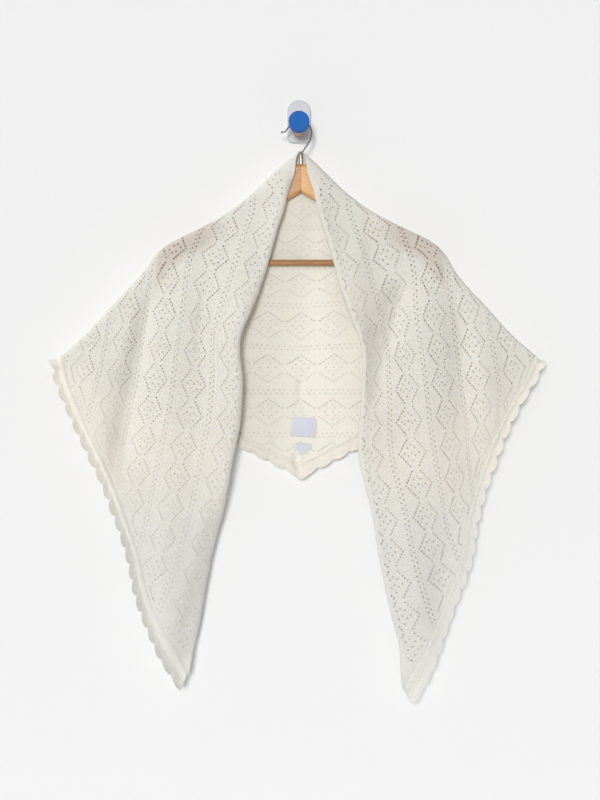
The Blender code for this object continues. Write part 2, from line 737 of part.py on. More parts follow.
def turned(name, profile, finish, group, location, rotation, steps=28):
    """Solid turned about its own Z from a profile that runs down its outer side."""
    mesh = bpy.data.meshes.new(name)
    closed = profile[0] == profile[-1]
    points = profile[:-1] if closed else profile
    edges = [(i, i + 1) for i in range(len(points) - 1)]
    if closed:
        edges.append((len(points) - 1, 0))
    mesh.from_pydata([(r, 0.0, z) for r, z in points], edges, [])
    item = bpy.data.objects.new(name, mesh)
    group.objects.link(item)
    item.location = location
    item.rotation_euler = rotation
    screw = item.modifiers.new("Turned", "SCREW")
    screw.steps = steps
    screw.render_steps = steps
    screw.use_merge_vertices = True
    screw.merge_threshold = 0.00001
    return keep(item, name, finish, group)


def wire(name, route, radius, finish, group):
    curve = bpy.data.curves.new(name, "CURVE")
    curve.dimensions = "3D"
    curve.bevel_depth = radius
    curve.bevel_resolution = 2
    curve.use_fill_caps = True
    spline = curve.splines.new("POLY")
    spline.points.add(len(route) - 1)
    for point, place in zip(spline.points, route):
        point.co = (*place, 1.0)
    item = bpy.data.objects.new(name, curve)
    group.objects.link(item)
    return keep(item, name, finish, group)


def hook(group):
    route = [(x * MM, z * MM) for x, z in HOOK_FOOT]
    for turn in np.radians(np.linspace(HOOK_ARC_FROM, HOOK_ARC_TO, HOOK_ARC_POINTS)):
        route.append(
            (HOOK_ARC_X + HOOK_ARC_RADIUS * math.cos(turn), HOOK_ARC_Z + HOOK_ARC_RADIUS * math.sin(turn))
        )
    route += [(x * MM, z * MM) for x, z in HOOK_END]
    foot = route[0][1]
    points = [(x, HANGER_Y, z) for x, z in route]
    wire("hook", points, WIRE_RADIUS, "steel", group)
    inner = WIRE_RADIUS + GAP
    profile = [(SLEEVE_RADIUS, foot + SLEEVE_LENGTH), (SLEEVE_RADIUS, foot), (inner, foot)]
    profile += [(inner, foot + SLEEVE_LENGTH), (SLEEVE_RADIUS, foot + SLEEVE_LENGTH)]
    turned("hook_sleeve", profile, "steel", group, (HANGER_X, HANGER_Y, 0), (0, 0, 0), 20)
    tip_x, tip_z = route[-1]
    bpy.ops.mesh.primitive_uv_sphere_add(
        segments=14,
        ring_count=8,
        radius=TIP_RADIUS,
        location=(tip_x - TIP_RADIUS - GAP, HANGER_Y, tip_z - 0.0002),
    )
    ball = keep(bpy.context.object, "hook_tip", "steel", group)
    smooth_mesh(ball.data)


# Wall peg

def peg(group):
    half = PLATE_WIDTH / 2
    low = -PLATE_HEIGHT / 2
    centre = PLATE_HEIGHT / 2 - half
    outline = [(half * math.cos(a), centre + half * math.sin(a)) for a in np.linspace(0, math.pi, 21)]
    for corner_x, first in ((-half + PLATE_CORNER, 180), (half - PLATE_CORNER, 270)):
        for a in np.radians(np.linspace(first, first + 90, 6)):
            outline.append(
                (corner_x + PLATE_CORNER * math.cos(a), low + PLATE_CORNER * (1 + math.sin(a)))
            )
    mesh, data = outline_solid(outline, PLATE_THICKNESS, "wall_plate")
    bmesh.ops.translate(mesh, verts=mesh.verts, vec=(0, -PLATE_THICKNESS / 2, 0))
    front = [
        e
        for e in mesh.edges
        if all(abs(v.co.y + PLATE_THICKNESS) < 1e-6 for v in e.verts) and e.calc_face_angle(0) > 1.0
    ]
    bmesh.ops.bevel(mesh, geom=front, offset=PLATE_ROUND, segments=3, profile=0.5, affect="EDGES")
    finish_mesh(mesh, data, "wall_plate", "white_plate", group)

    way = Vector((0, -math.cos(PEG_TILT), math.sin(PEG_TILT)))
    rest = Vector((0, HANGER_Y, PEG_LEVEL))
    face_y = -PLATE_THICKNESS - GAP
    root = rest + way * ((face_y - rest.y) / way.y)
    end = rest + way * ((-PEG_END - rest.y) / way.y)
    turn = way.to_track_quat("Z", "Y").to_matrix().to_4x4()
    mesh = bmesh.new()
    bmesh.ops.create_cone(
        mesh,
        cap_ends=True,
        segments=28,
        radius1=PEG_RADIUS,
        radius2=PEG_RADIUS,
        depth=(end - root).length,
        matrix=Matrix.Translation((root + end) / 2) @ turn,
    )
    for vert in mesh.verts:
        if (vert.co - root).dot(way) < (end - root).length / 2:
            vert.co += way * ((face_y - vert.co.y) / way.y)
    finish_mesh(mesh, bpy.data.meshes.new("peg_shaft"), "peg_shaft", "pale_wood", group)

    profile = [(0.0, HEAD_THICKNESS)]
    for a in np.radians(np.linspace(90, 0, 4)):
        profile.append(
            (
                HEAD_RADIUS - HEAD_ROUND * (1 - math.cos(a)),
                HEAD_THICKNESS - HEAD_ROUND * (1 - math.sin(a)),
            )
        )
    profile += [(HEAD_RADIUS, HEAD_ROUND / 2), (HEAD_RADIUS - HEAD_ROUND / 2, 0.0), (0.0, 0.0)]
    seat = end + way * GAP
    turned("peg_head", profile, "blue_lacquer", group, seat, turn.to_euler(), 32)


clear_scene()
parts = new_collection("lace_shawl")
for side_name in SIDES:
    front_panel(side_name, parts)
back_panel(parts)
edgings(parts)
labels(parts)
hanger(parts)
hook(parts)
peg(parts)
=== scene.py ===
import math

import bmesh
import bpy
import numpy as np
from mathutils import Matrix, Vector


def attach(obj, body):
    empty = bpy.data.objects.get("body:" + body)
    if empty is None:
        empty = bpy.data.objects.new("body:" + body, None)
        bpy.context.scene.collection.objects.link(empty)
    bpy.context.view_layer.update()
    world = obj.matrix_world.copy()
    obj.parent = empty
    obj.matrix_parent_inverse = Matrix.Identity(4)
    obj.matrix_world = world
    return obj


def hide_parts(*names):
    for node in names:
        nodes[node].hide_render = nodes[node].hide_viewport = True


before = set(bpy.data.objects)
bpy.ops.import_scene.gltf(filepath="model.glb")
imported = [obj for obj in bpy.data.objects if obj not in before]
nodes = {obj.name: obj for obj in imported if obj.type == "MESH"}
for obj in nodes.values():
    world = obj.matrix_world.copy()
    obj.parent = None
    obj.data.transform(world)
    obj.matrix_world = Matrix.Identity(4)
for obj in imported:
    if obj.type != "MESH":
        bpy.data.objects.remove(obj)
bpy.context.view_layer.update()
bpy.ops.object.select_all(action="DESELECT")
print("frame loaded:", len(nodes), "nodes")

mm = 0.001

# camera, wall, floor and light

view = {
    "place": (0.0016, -2.6, -0.4426),
    "lens": 73.49,
    "sensor": 36.0,  # on the picture's long side
}
cameraData = bpy.data.cameras.new("camera")
cameraData.lens = view["lens"]
cameraData.sensor_width = view["sensor"]
camera = bpy.data.objects.new("camera", cameraData)
camera.location = view["place"]
camera.rotation_euler = (math.pi / 2, 0.0, 0.0)
bpy.context.scene.collection.objects.link(camera)
bpy.context.scene.camera = camera
bpy.context.scene.view_settings.view_transform = "Standard"

room = {
    "floorHeight": -1.90,
    "cornerRadius": 0.35,
    "wallTop": 3.2,
    "halfWidth": 5.0,
    "floorFront": -6.5,
    "colour": (0.815, 0.815, 0.815),
    "roughness": 0.85,
    "ambient": 0.44,
    "back": (0.90, 0.90, 0.90),
}
softSun = {
    # far enough off to light the whole wall evenly; it throws the narrow shadow to the right and down
    "way": (0.125, 1.0, -0.130),
    "spread": math.radians(14.0),
    "strength": 2.02,
}
lamps = [
    # name, place, size, watts, lights the shawl only: each looks at the middle of the shawl
    ("sideLamp", (-2.9, -1.5, 0.6), 0.9, 34.0, True),
    ("backLamp", (-1.2, 2.4, 1.0), 2.0, 50.0, False),
]


def lookAt(item, way):
    item.rotation_euler = Vector(way).to_track_quat("-Z", "Y").to_euler()


def addLamp(name, data, place, way):
    lamp = bpy.data.objects.new(name, data)
    lamp.location = place
    lookAt(lamp, way)
    bpy.context.scene.collection.objects.link(lamp)
    return lamp


sunData = bpy.data.lights.new("softSun", "SUN")
sunData.angle = softSun["spread"]
sunData.energy = softSun["strength"]
addLamp("softSun", sunData, (-0.5, -4.0, 0.6), softSun["way"])
shawlOnly = bpy.data.collections.new("shawlOnly")
for name, place, size, watts, limited in lamps:
    data = bpy.data.lights.new(name, "AREA")
    data.shape = "DISK"
    data.size = size
    data.energy = watts
    lamp = addLamp(name, data, place, Vector((0.0, -0.03, -0.40)) - Vector(place))
    if limited:
        lamp.light_linking.receiver_collection = shawlOnly

world = bpy.data.worlds.new("studio")
world.use_nodes = True
world.node_tree.nodes["Background"].inputs["Color"].default_value = (*room["back"], 1.0)
world.node_tree.nodes["Background"].inputs["Strength"].default_value = room["ambient"]
bpy.context.scene.world = world


def feed(tree, node, inputs):
    # links an output to a socket, or sets the socket's own value
    for key, value in inputs.items():
        if hasattr(value, "is_output"):
            tree.links.new(value, node.inputs[key])
        else:
            node.inputs[key].default_value = value


def addNode(tree, kind, inputs=None, **settings):
    node = tree.nodes.new("ShaderNode" + kind)
    for key, value in settings.items():
        setattr(node, key, value)
    feed(tree, node, inputs or {})
    return node


def calc(tree, operation, *values):
    return addNode(tree, "Math", dict(enumerate(values)), operation=operation).outputs["Value"]


def newMaterial(name):
    made = bpy.data.materials.new(name)
    made.use_nodes = True
    return made, made.node_tree, made.node_tree.nodes["Principled BSDF"]


def opaque(colour):
    return (*colour, 1.0)


def roomMaterial():
    # from behind the wall and below the floor it is see-through, so the back can be looked at
    made, tree, shader = newMaterial("paintedRoom")
    spot = addNode(tree, "TexCoord")
    grain = addNode(tree, "TexNoise", {"Vector": spot.outputs["Object"], "Scale": 420.0})
    tone = addNode(tree, "Mix", data_type="RGBA")
    feed(tree, tone, {"A": opaque(v * 0.992 for v in room["colour"]), "B": opaque(room["colour"])})
    feed(tree, tone, {"Factor": grain.outputs["Fac"]})
    feed(tree, shader, {"Base Color": tone.outputs["Result"], "Roughness": room["roughness"]})
    feed(tree, shader, {"Specular IOR Level": 0.15})
    clear = addNode(tree, "BsdfTransparent")
    side = addNode(tree, "NewGeometry")
    path = addNode(tree, "LightPath")
    either = calc(tree, "MAXIMUM", side.outputs["Backfacing"], path.outputs["Is Shadow Ray"])
    mix = addNode(tree, "MixShader", {"Fac": either, 1: shader.outputs["BSDF"], 2: clear.outputs["BSDF"]})
    feed(tree, tree.nodes["Material Output"], {"Surface": mix.outputs["Shader"]})
    return made


def makeRoom():
    radius = room["cornerRadius"]
    profile = [(0.0, room["wallTop"])]
    for turn in np.linspace(0.0, math.pi / 2, 17):
        profile.append((-radius * (1 - math.cos(turn)), room["floorHeight"] + radius * (1 - math.sin(turn))))
    profile.append((room["floorFront"], room["floorHeight"]))
    mesh = bmesh.new()
    rows = []
    for y, z in profile:
        rows.append([mesh.verts.new((x, y, z)) for x in (-room["halfWidth"], room["halfWidth"])])
    for a, b in zip(rows, rows[1:]):
        mesh.faces.new((a[0], b[0], b[1], a[1]))
    data = bpy.data.meshes.new("room")
    mesh.to_mesh(data)
    mesh.free()
    data.shade_smooth()
    data.materials.append(roomMaterial())
    item = bpy.data.objects.new("room", data)
    bpy.context.scene.collection.objects.link(item)


makeRoom()
print("camera, room and lamps made")

# how the shawl is worn: flat cut to its place on the hanger, in metres

shawl = {
    "longEdge": 0.880,
    "neckHalf": 0.0085,
    "cutDepth": 0.505,
    "elbow": (0.389, 0.327),
    "foldRadius": 0.0083,
    "foldReach": 0.11,  # how far from the fold the shoulder line, the edges and the folds still pull
    "edgeReach": 0.11,
    "hemReach": 0.09,
    "foldSettle": 0.045,
    "standReach": 0.035,
    "freeBelow": -0.236,
    "rollWidth": 0.018,
    "rollRadius": 0.0078,
    "splitBehind": 0.00554,
    "hemBow": 0.006,
    "hemBowEnd": 0.372,
    "narrow": 0.0012,
    "hangerX": 0.0032,
    "hangerY": -0.036,
    "neckTop": -0.0576,
    "edgingWidth": 0.015,
    "scallopRise": 0.005,
    "frontScallops": 21,
    "backScallops": 15,
    "thickness": 0.0013,
}
sides = {
    "left": {"sign": -1.0, "elbow": (0.3855, -0.3825), "tip": (0.1876, -0.8973), "pick": 1},
    "right": {"sign": 1.0, "elbow": (0.3765, -0.3830), "tip": (0.1767, -0.9200), "pick": 2},
}
shoulderLine = [
    # out, height left, height right (mm)
    (8.5, -57.6, -57.6),
    (38.0, -82.0, -86.0),
    (70.0, -114.0, -117.0),
    (98.0, -136.5, -138.5),
    (133.0, -160.0, -159.5),
    (177.0, -183.0, -181.0),
    (209.0, -199.5, -198.0),
    (228.0, -216.0, -218.0),
    (242.0, -236.0, -242.0),
    (285.0, -283.0, -291.0),
    (335.0, -337.0, -345.0),
    (386.0, -384.5, -388.0),
]
edgeSet = [
    # height, outward left, outward right (mm)
    (-60, 0, 0),
    (-102, -11, -7),
    (-135, -12, -9),
    (-177, -8, -6),
    (-224, -6, -3),
    (-266, -3, -2),
    (-300, 2, 2),
    (-338, 9, 9),
    (-370, 6, 12),
    (-405, -4, 6),
    (-441, -10, 0),
    (-491, -15, -14),
    (-525, -14, -20),
    (-572, -15, -19),
    (-611, -16, -16),
    (-683, -13, -19),
    (-760, -16, -19),
    (-800, -20, -18),
    (-830, -18, -17),
    (-866, -9, -19),
    (-894, 0, -14),
    (-925, 0, 0),
]
hemSet = [
    # share of the way from elbow to tip, outward left, outward right (mm)
    (0.00, 0, 0),
    (0.06, 5, -3),
    (0.12, 5, -11),
    (0.20, 3, -17),
    (0.32, -3, -17),
    (0.46, -3, -10),
    (0.58, 0, 4),
    (0.70, 11, 6),
    (0.82, 13, 7),
    (0.93, 10, 7),
    (1.00, 2, 0),
]
layerSet = [
    # height, front, back: further from the hanger's middle (mm)
    (-50, 0.0, 0.0),
    (-200, 0.5, 0.5),
    (-260, 1.5, 2.0),
    (-420, 5.0, 7.0),
    (-560, 6.0, 8.0),
    (-740, 3.0, 8.0),
    (-930, -4.0, 8.0),
]
edgeStand = [(-60, 0), (-90, 5), (-120, 10), (-250, 12), (-330, 10), (-420, 6), (-560, 3), (-930, 0)]
frontFolds = [
    # side, top out, top height, foot out, foot height, depth to the viewer, half width top, foot (mm)
    ("left", 232, -245, 286, -540, -11, 11, 21),
    ("left", 180, -235, 214, -560, 6, 26, 34),
    ("left", 110, -190, 128, -520, 7, 24, 34),
    ("left", 84, -150, 96, -470, 5, 16, 22),
    ("left", 118, -590, 184, -860, -13, 16, 20),
    ("left", 205, -560, 215, -800, 6, 30, 26),
    ("left", 330, -380, 300, -560, 5, 24, 24),
    ("right", 166, -240, 126, -350, -18, 17, 24),
    ("right", 126, -330, 114, -450, -15, 22, 22),
    ("right", 242, -240, 274, -600, -12, 15, 28),
    ("right", 196, -240, 196, -560, 7, 24, 34),
    ("right", 84, -160, 92, -300, 7, 16, 22),
    ("right", 292, -330, 268, -600, 10, 26, 34),
    ("right", 160, -560, 176, -800, 6, 30, 26),
    ("right", 240, -600, 214, -800, -6, 24, 20),
]
backFolds = [
    # x from the middle, top height, foot x, foot height, depth to the wall, half width top, foot (mm)
    (-2, -405, -4, -455, 6, 5, 9),
    (-12, -526, -5, -556, 5, 4, 7),
    (-70, -250, -100, -470, 5, 30, 40),
    (76, -250, 104, -470, 5, 30, 40),
    (-190, -260, -230, -430, -5, 34, 40),
    (186, -260, 228, -430, -5, 34, 40),
    (30, -140, 60, -420, -3, 26, 34),
]
frontCreases = [
    # small ones, in the same columns as frontFolds
    ("left", 262, -300, 300, -420, 1.6, 7, 10),
    ("left", 150, -250, 162, -380, -1.5, 6, 9),
    ("right", 262, -300, 288, -430, 1.5, 7, 10),
    ("right", 168, -260, 150, -360, 1.6, 7, 10),
]


def softCurve(x, xs, ys):
    order = np.argsort(xs)
    xs = np.asarray(xs, float)[order]
    ys = np.asarray(ys, float)[order]
    slopes = np.gradient(ys, xs)
    x = np.clip(x, xs[0], xs[-1])
    i = np.clip(np.searchsorted(xs, x, side="right") - 1, 0, len(xs) - 2)
    width = xs[i + 1] - xs[i]
    u = (x - xs[i]) / width
    start = (1 + 2 * u) * (1 - u) ** 2 * ys[i] + u * (1 - u) ** 2 * width * slopes[i]
    end = u * u * (3 - 2 * u) * ys[i + 1] + u * u * (u - 1) * width * slopes[i + 1]
    return start + end


def tableCurve(x, table, pick):
    xs = np.array([row[0] for row in table], float) * mm
    ys = np.array([row[pick] for row in table], float) * mm
    return softCurve(x, xs, ys)


def ease(x):
    x = np.clip(x, 0.0, 1.0)
    return x * x * (3 - 2 * x)


neckFlat = np.array([shawl["neckHalf"], 0.0])
elbowFlat = np.array(shawl["elbow"])
tipFlat = np.array([shawl["longEdge"], 0.0])
pointFlat = np.array([0.0, shawl["cutDepth"]])
middleFlat = np.array([0.0, 0.0])
foldWay = (elbowFlat - neckFlat) / np.linalg.norm(elbowFlat - neckFlat)
foldFront = np.array([foldWay[1], -foldWay[0]])


def fromFold(along, depth):
    return (along - neckFlat[0]) * foldFront[0] + (depth - neckFlat[1]) * foldFront[1]


def carried(along, depth, flat, worn):
    a, b, c = flat
    area = (b[0] - a[0]) * (c[1] - a[1]) - (b[1] - a[1]) * (c[0] - a[0])
    shareB = ((along - a[0]) * (c[1] - a[1]) - (depth - a[1]) * (c[0] - a[0])) / area
    shareC = ((b[0] - a[0]) * (depth - a[1]) - (b[1] - a[1]) * (along - a[0])) / area
    shareA = 1 - shareB - shareC
    out = shareA * worn[0][0] + shareB * worn[1][0] + shareC * worn[2][0]
    height = shareA * worn[0][1] + shareB * worn[1][1] + shareC * worn[2][1]
    return out, height


def foldDepth(out, height, row):
    topOut, topZ, footOut, footZ, depth, wideTop, wideFoot = (v * mm for v in row)
    way = np.array([footOut - topOut, footZ - topZ])
    length = np.hypot(*way)
    way /= length
    along = ((out - topOut) * way[0] + (height - topZ) * way[1]) / length
    across = (out - topOut) * way[1] - (height - topZ) * way[0]
    wide = wideTop + (wideFoot - wideTop) * np.clip(along, 0, 1)
    ends = ease((along + 0.10) / 0.35) * ease((1.2 - along) / 0.35)
    if depth < 0:
        ends = ends * ease((shawl["freeBelow"] - height) / 0.05)
    return depth * ends * np.exp(-((across / wide) ** 2))


def wornLayer(side, along, depth):
    shape = sides[side]
    elbow = shape["elbow"]
    neck = (shawl["neckHalf"] * elbow[0] / elbowFlat[0], shawl["neckTop"])
    front = carried(along, depth, (neckFlat, elbowFlat, tipFlat), (neck, elbow, shape["tip"]))
    backCorners = ((0.0, shawl["neckTop"]), elbow, (0.0, shawl["neckTop"] - shawl["cutDepth"]))
    back = carried(along, depth, (middleFlat, elbowFlat, pointFlat), backCorners)
    off = fromFold(along, depth)
    isFront = off >= 0
    out = np.where(isFront, front[0], back[0])
    height = np.where(isFront, front[1], back[1])

    far = np.abs(off)  # round the fold, and up to the shoulder line
    radius = shawl["foldRadius"]
    turn = np.minimum(far / radius, math.pi / 2)
    inward = radius * (1 - np.cos(turn)) + np.maximum(far - radius * math.pi / 2, 0)
    chord = np.array([elbow[0] - neck[0], elbow[1] - neck[1]])
    chordLength = np.hypot(*chord)
    chord /= chordLength
    lineOut = np.array([row[0] for row in shoulderLine]) * mm
    lineHeight = np.array([row[shape["pick"]] for row in shoulderLine]) * mm
    lineAlong = (lineOut - neck[0]) * chord[0] + (lineHeight - neck[1]) * chord[1]
    lineRise = -(lineOut - neck[0]) * chord[1] + (lineHeight - neck[1]) * chord[0]
    place = (out - neck[0]) * chord[0] + (height - neck[1]) * chord[1]
    rise = softCurve(place, lineAlong, lineRise)
    rise = rise * ease((chordLength + 0.02 - place) / 0.06)
    move = (rise + far - inward) / (1 + (far / shawl["foldReach"]) ** 2)
    out = out - move * chord[1] * ease(along / 0.05)
    height = height + move * chord[0]

    edge = tableCurve(height, edgeSet, shape["pick"])  # long edge and scalloped edge
    clearOfFold = np.where(isFront, ease(far / 0.03), 0.0)
    share = np.clip((along - elbowFlat[0]) / (tipFlat[0] - elbowFlat[0]), 0, 1)
    hem = softCurve(share, [row[0] for row in hemSet], np.array([row[shape["pick"]] for row in hemSet]) * mm)
    toHem = np.maximum(elbowFlat[1] * (1 - share) - depth, 0)
    across = ease(np.maximum(depth, 0) / (np.maximum(depth, 0) + toHem + shawl["narrow"]))
    nearEdge = np.exp(-((depth / shawl["edgeReach"]) ** 2)) * (1 - across)
    nearHem = np.exp(-((toHem / shawl["hemReach"]) ** 2)) * across
    out = out + clearOfFold * (edge * nearEdge + hem * nearHem)

    settle = 1 - np.exp(-((far / shawl["foldSettle"]) ** 2))  # depth of both layers and their folds
    frontDepth = tableCurve(height, layerSet, 1)
    for name, *row in frontFolds + frontCreases:
        if name == side:
            frontDepth = frontDepth + foldDepth(out, height, row)
    stand = tableCurve(height, edgeStand, 1)
    nearLong = np.exp(-((depth / shawl["standReach"]) ** 2)) * ease(far / 0.02)
    frontDepth = frontDepth * settle + stand * nearLong
    backDepth = tableCurve(height, layerSet, 2)
    for row in backFolds:
        backDepth = backDepth + foldDepth(out * shape["sign"], height, row)
    roundY = radius * np.sin(turn)
    backDepth = backDepth * settle
    y = shawl["hangerY"] + np.where(isFront, -roundY - frontDepth, roundY + backDepth)
    return np.stack([shawl["hangerX"] + shape["sign"] * out, y, height], axis=-1)


def cloth(side, along, depth):
    rollWidth, rollRadius = shawl["rollWidth"], shawl["rollRadius"]
    flat = np.maximum(depth, rollWidth)
    edge = wornLayer(side, along, flat)
    inner = wornLayer(side, along, flat + 0.002)
    over = (edge - inner) / np.linalg.norm(edge - inner, axis=-1, keepdims=True)
    turn = np.maximum(rollWidth - depth, 0) / rollRadius
    rolled = edge + over * (rollRadius * np.sin(turn))[..., None]
    rolled = rolled + np.stack([turn * 0, rollRadius * (1 - np.cos(turn)), turn * 0], axis=-1)
    share = (ease((along - 0.03) / 0.07) * ease((shawl["longEdge"] - along) / 0.12))[..., None]
    return wornLayer(side, along, depth) * (1 - share) + rolled * share


def clothBoth(across, depth):
    # place and unit normal of flat points, the distance across signed from the middle
    across = np.asarray(across, float)
    depth = np.asarray(depth, float)
    place = np.zeros(across.shape + (3,))
    normal = np.zeros(across.shape + (3,))
    step = 0.0004
    for side, shape in sides.items():
        mine = across < 0 if side == "left" else across >= 0
        a, d = np.abs(across[mine]), depth[mine]
        place[mine] = cloth(side, a, d)
        alongWay = cloth(side, a + step, d) - cloth(side, a - step, d)
        depthWay = cloth(side, a, d + step) - cloth(side, a, d - step)
        out = np.cross(alongWay, depthWay) * shape["sign"]
        normal[mine] = out / np.linalg.norm(out, axis=-1, keepdims=True)
    return place, normal


# lace chart: 12 columns by 24 rows, worked over the whole shawl

lace = {
    "columnWidth": 0.004125,
    "chartColumns": 12,
    "chartRows": 24,
    "plainBand": 0.0165,  # along the long edge, flat
    "plainHem": 0.0175,
    "clear": 0.0030,  # between an eyelet's middle and a cut edge
    "eyelet": (0.235, 0.345),  # half width and height in cells
    "slash": (0.29, 0.16, 0.28),
    "backEyelets": 0.84,
    "leftEyelets": 0.92,
    "onArms": 0.45,  # they are stretched open where the fronts lie on the arms
    "uneven": 0.16,  # how much the eyelets differ in size
    "stray": 0.07,  # and how far they sit off the lattice, in cells
    "rows": (-23, 184),  # first chart row worked, and the one after the last
    "spareCut": 0.006,  # cloth kept past a cut before it is cut
    "spareEdge": 0.004,
}
lowEyelets = {
    # below the back layer they stand a little more open: height where it starts, where it ends, size there
    "left": (-0.50, -0.68, 1.02),
    "right": (-0.50, -0.66, 1.20),
}
ribs = [
    # raised stitches beside the eyelets: first column, columns a row, first row, last row, height (mm)
    (-1.1, -1.0, 5.0, 11.0, 0.55),
    (1.1, 1.0, 5.0, 11.0, 0.35),
    (-6.1, 1.0, 14.6, 20.0, 0.55),
    (6.1, -1.0, 14.6, 20.0, 0.35),
    (0.0, 0.0, 10.5, 15.5, 0.30),
]
rowRibs = [(-1.2, 0.40), (1.0, 0.50), (3.2, 0.35), (22.8, 0.40)]  # chart row, height (mm)
chartRows = {
    # row: its eyelets' columns, and how they lie
    0: [((0, 2, 4, 6, 8, 10), "low")],
    2: [((1, 3, 5, 7, 9, 11), "high")],
    5: [((0,), "open")],
    6: [((-1,), "leftSlot"), ((1,), "rightSlot")],
    7: [((-2,), "leftSlot"), ((2,), "rightSlot")],
    8: [((-3,), "leftSlot"), ((3,), "rightSlot"), ((0,), "open")],
    9: [((-4,), "leftSlot"), ((4,), "rightSlot")],
    10: [((-5,), "leftSlot"), ((5,), "rightSlot"), ((-2, 1), "open")],
    12: [((-3, 0, 3), "open")],
    14: [((-2, 1), "open")],
    15: [((-5, 5), "open")],
    16: [((-4, 0, 4), "open")],
    17: [((-3, 3), "open")],
    18: [((-2, 2), "open")],
    19: [((-1, 1), "open")],
    20: [((0,), "open")],
}
doubleRows = [
    # chart repeat, flat depth of its double row on the fronts, on the back (mm)
    (-1, -4.0, -8.0),
    (0, 58.0, 53.5),
    (1, 120.0, 115.3),
    (2, 182.0, 176.6),
    (3, 244.0, 238.1),
    (4, 306.0, 305.9),
    (5, 370.0, 375.1),
    (6, 434.0, 441.9),
    (7, 500.0, 508.0),
]


def chartDepth(row, across):
    # flat depth of a chart row: its spacing differs a little between fronts and back
    at = np.array([r[0] for r in doubleRows]) * lace["chartRows"] + 1.0
    front = np.interp(row, at, np.array([r[1] for r in doubleRows]) * mm)
    back = np.interp(row, at, np.array([r[2] for r in doubleRows]) * mm)
    share = ease(0.5 - fromFold(np.abs(across), (front + back) / 2) / 0.14)
    return front + (back - front) * share


def eyeletKind(column, row):
    for columns, kind in chartRows.get(row % lace["chartRows"], ()):
        if any((column - spot) % lace["chartColumns"] == 0 for spot in columns):
            return kind
    return None


def chance(*keys):
    # the same number between 0 and 1 each run for the same keys
    value = math.sin(sum(key * weight for key, weight in zip(keys, (12.9898, 78.233, 37.719)))) * 43758.5453
    return value - math.floor(value)


def ribRise(across, row):
    # metres the cloth stands up at a chart spot
    column = across / lace["columnWidth"]
    row = row % lace["chartRows"]
    rise = np.zeros(len(row))
    for start, lean, first, last, height in ribs:
        off = (column - start - lean * (row - first) + 6) % lace["chartColumns"] - 6
        here = ease((row - first + 0.8) / 0.8) * ease((last + 0.8 - row) / 0.8)
        rise += height * mm * here * np.exp(-((off / 0.75) ** 2))
    for middle, height in rowRibs:
        rise += height * mm * np.exp(-(((row - middle) / 0.7) ** 2))
    return rise


def eyeletRing(kind):
    # eight points round the eyelet, in cells from the cell's middle
    ring = []
    for turn in (np.arange(8) + 0.5) * math.pi / 4:
        c, s = math.cos(turn), math.sin(turn)
        if kind in ("leftSlot", "rightSlot"):
            long, thinU, thinV = lace["slash"]
            c, s = math.cos(turn - math.pi / 4), math.sin(turn - math.pi / 4)
            ring.append((long * c - thinU * s, long * c + thinV * s))
        else:
            shift = {"low": 0.10, "high": -0.10}.get(kind, 0.0)
            ring.append((lace["eyelet"][0] * c, lace["eyelet"][1] * s + shift))
    if kind == "leftSlot":  # mirrored, and still the same way round
        ring = [(-ring[(3 - k) % 8][0], ring[(3 - k) % 8][1]) for k in range(8)]
    return ring


def sideOf(points, line):
    # signed distance from a line given by a point and its outward way
    (px, py), (wx, wy) = line
    return (points[..., 0] - px) * wx + (points[..., 1] - py) * wy


def hemLines():
    # lines a square edging's width inside the scalloped edge: back half, front half
    lines = []
    for a, b in ((pointFlat, elbowFlat), (elbowFlat, tipFlat)):
        way = (b - a) / np.linalg.norm(b - a)
        outward = np.array([-way[1], way[0]])
        lines.append((a - outward * shawl["edgingWidth"], outward))
    return lines


backHem, frontHem = hemLines()
splitLine = (neckFlat - foldFront * shawl["splitBehind"], foldFront)


def hemBow(across):
    # the back's edge is cut in a shallow curve
    along = np.abs(across)
    return shawl["hemBow"] * np.sin(math.pi * np.clip(along / shawl["hemBowEnd"], 0, 1))


def cutBy(mesh, line, sign=1.0):
    (px, py), (wx, wy) = line
    bmesh.ops.bisect_plane(
        mesh,
        geom=mesh.verts[:] + mesh.edges[:] + mesh.faces[:],
        plane_co=(sign * px, py, 0.0),
        plane_no=(sign * wx, wy, 0.0),
        clear_outer=True,
        dist=0.00002,
    )


def mirrored(line, sign):
    (px, py), (wx, wy) = line
    return (sign * px, py), (sign * wx, wy)


armUnder = {
    # where the fronts lie on the arms, and the wood's show-through is painted into the knit: metres out, and
    # down from the fold
    "inner": (0.110, 0.050),
    "outer": (0.234, 0.016),
    "down": (0.046, 0.020),
}


def overWood(flatSpots, place):
    out = np.abs(place[:, 0] - shawl["hangerX"])
    far = np.abs(fromFold(np.abs(flatSpots[:, 0]), flatSpots[:, 1]))
    start, startSoft = armUnder["inner"]
    end, endSoft = armUnder["outer"]
    down, downSoft = armUnder["down"]
    return ease((out - start) / startSoft) * ease((end - out) / endSoft) * ease((down - far) / downSoft)


def eyeletSizes(middle, bowed):
    # they differ between the back, the fronts and their points
    place, _ = clothBoth(middle[:, 0], middle[:, 1])
    if bowed:
        return np.full(len(middle), lace["backEyelets"])
    size = np.ones(len(middle))
    for side, (start, end, opened) in lowEyelets.items():
        mine = middle[:, 0] < 0 if side == "left" else middle[:, 0] >= 0
        size[mine] = 1 + (opened - 1) * ease((start - place[mine, 2]) / (start - end))
    size[middle[:, 0] < 0] *= lace["leftEyelets"]
    return size * (1 + lace["onArms"] * overWood(middle, place))


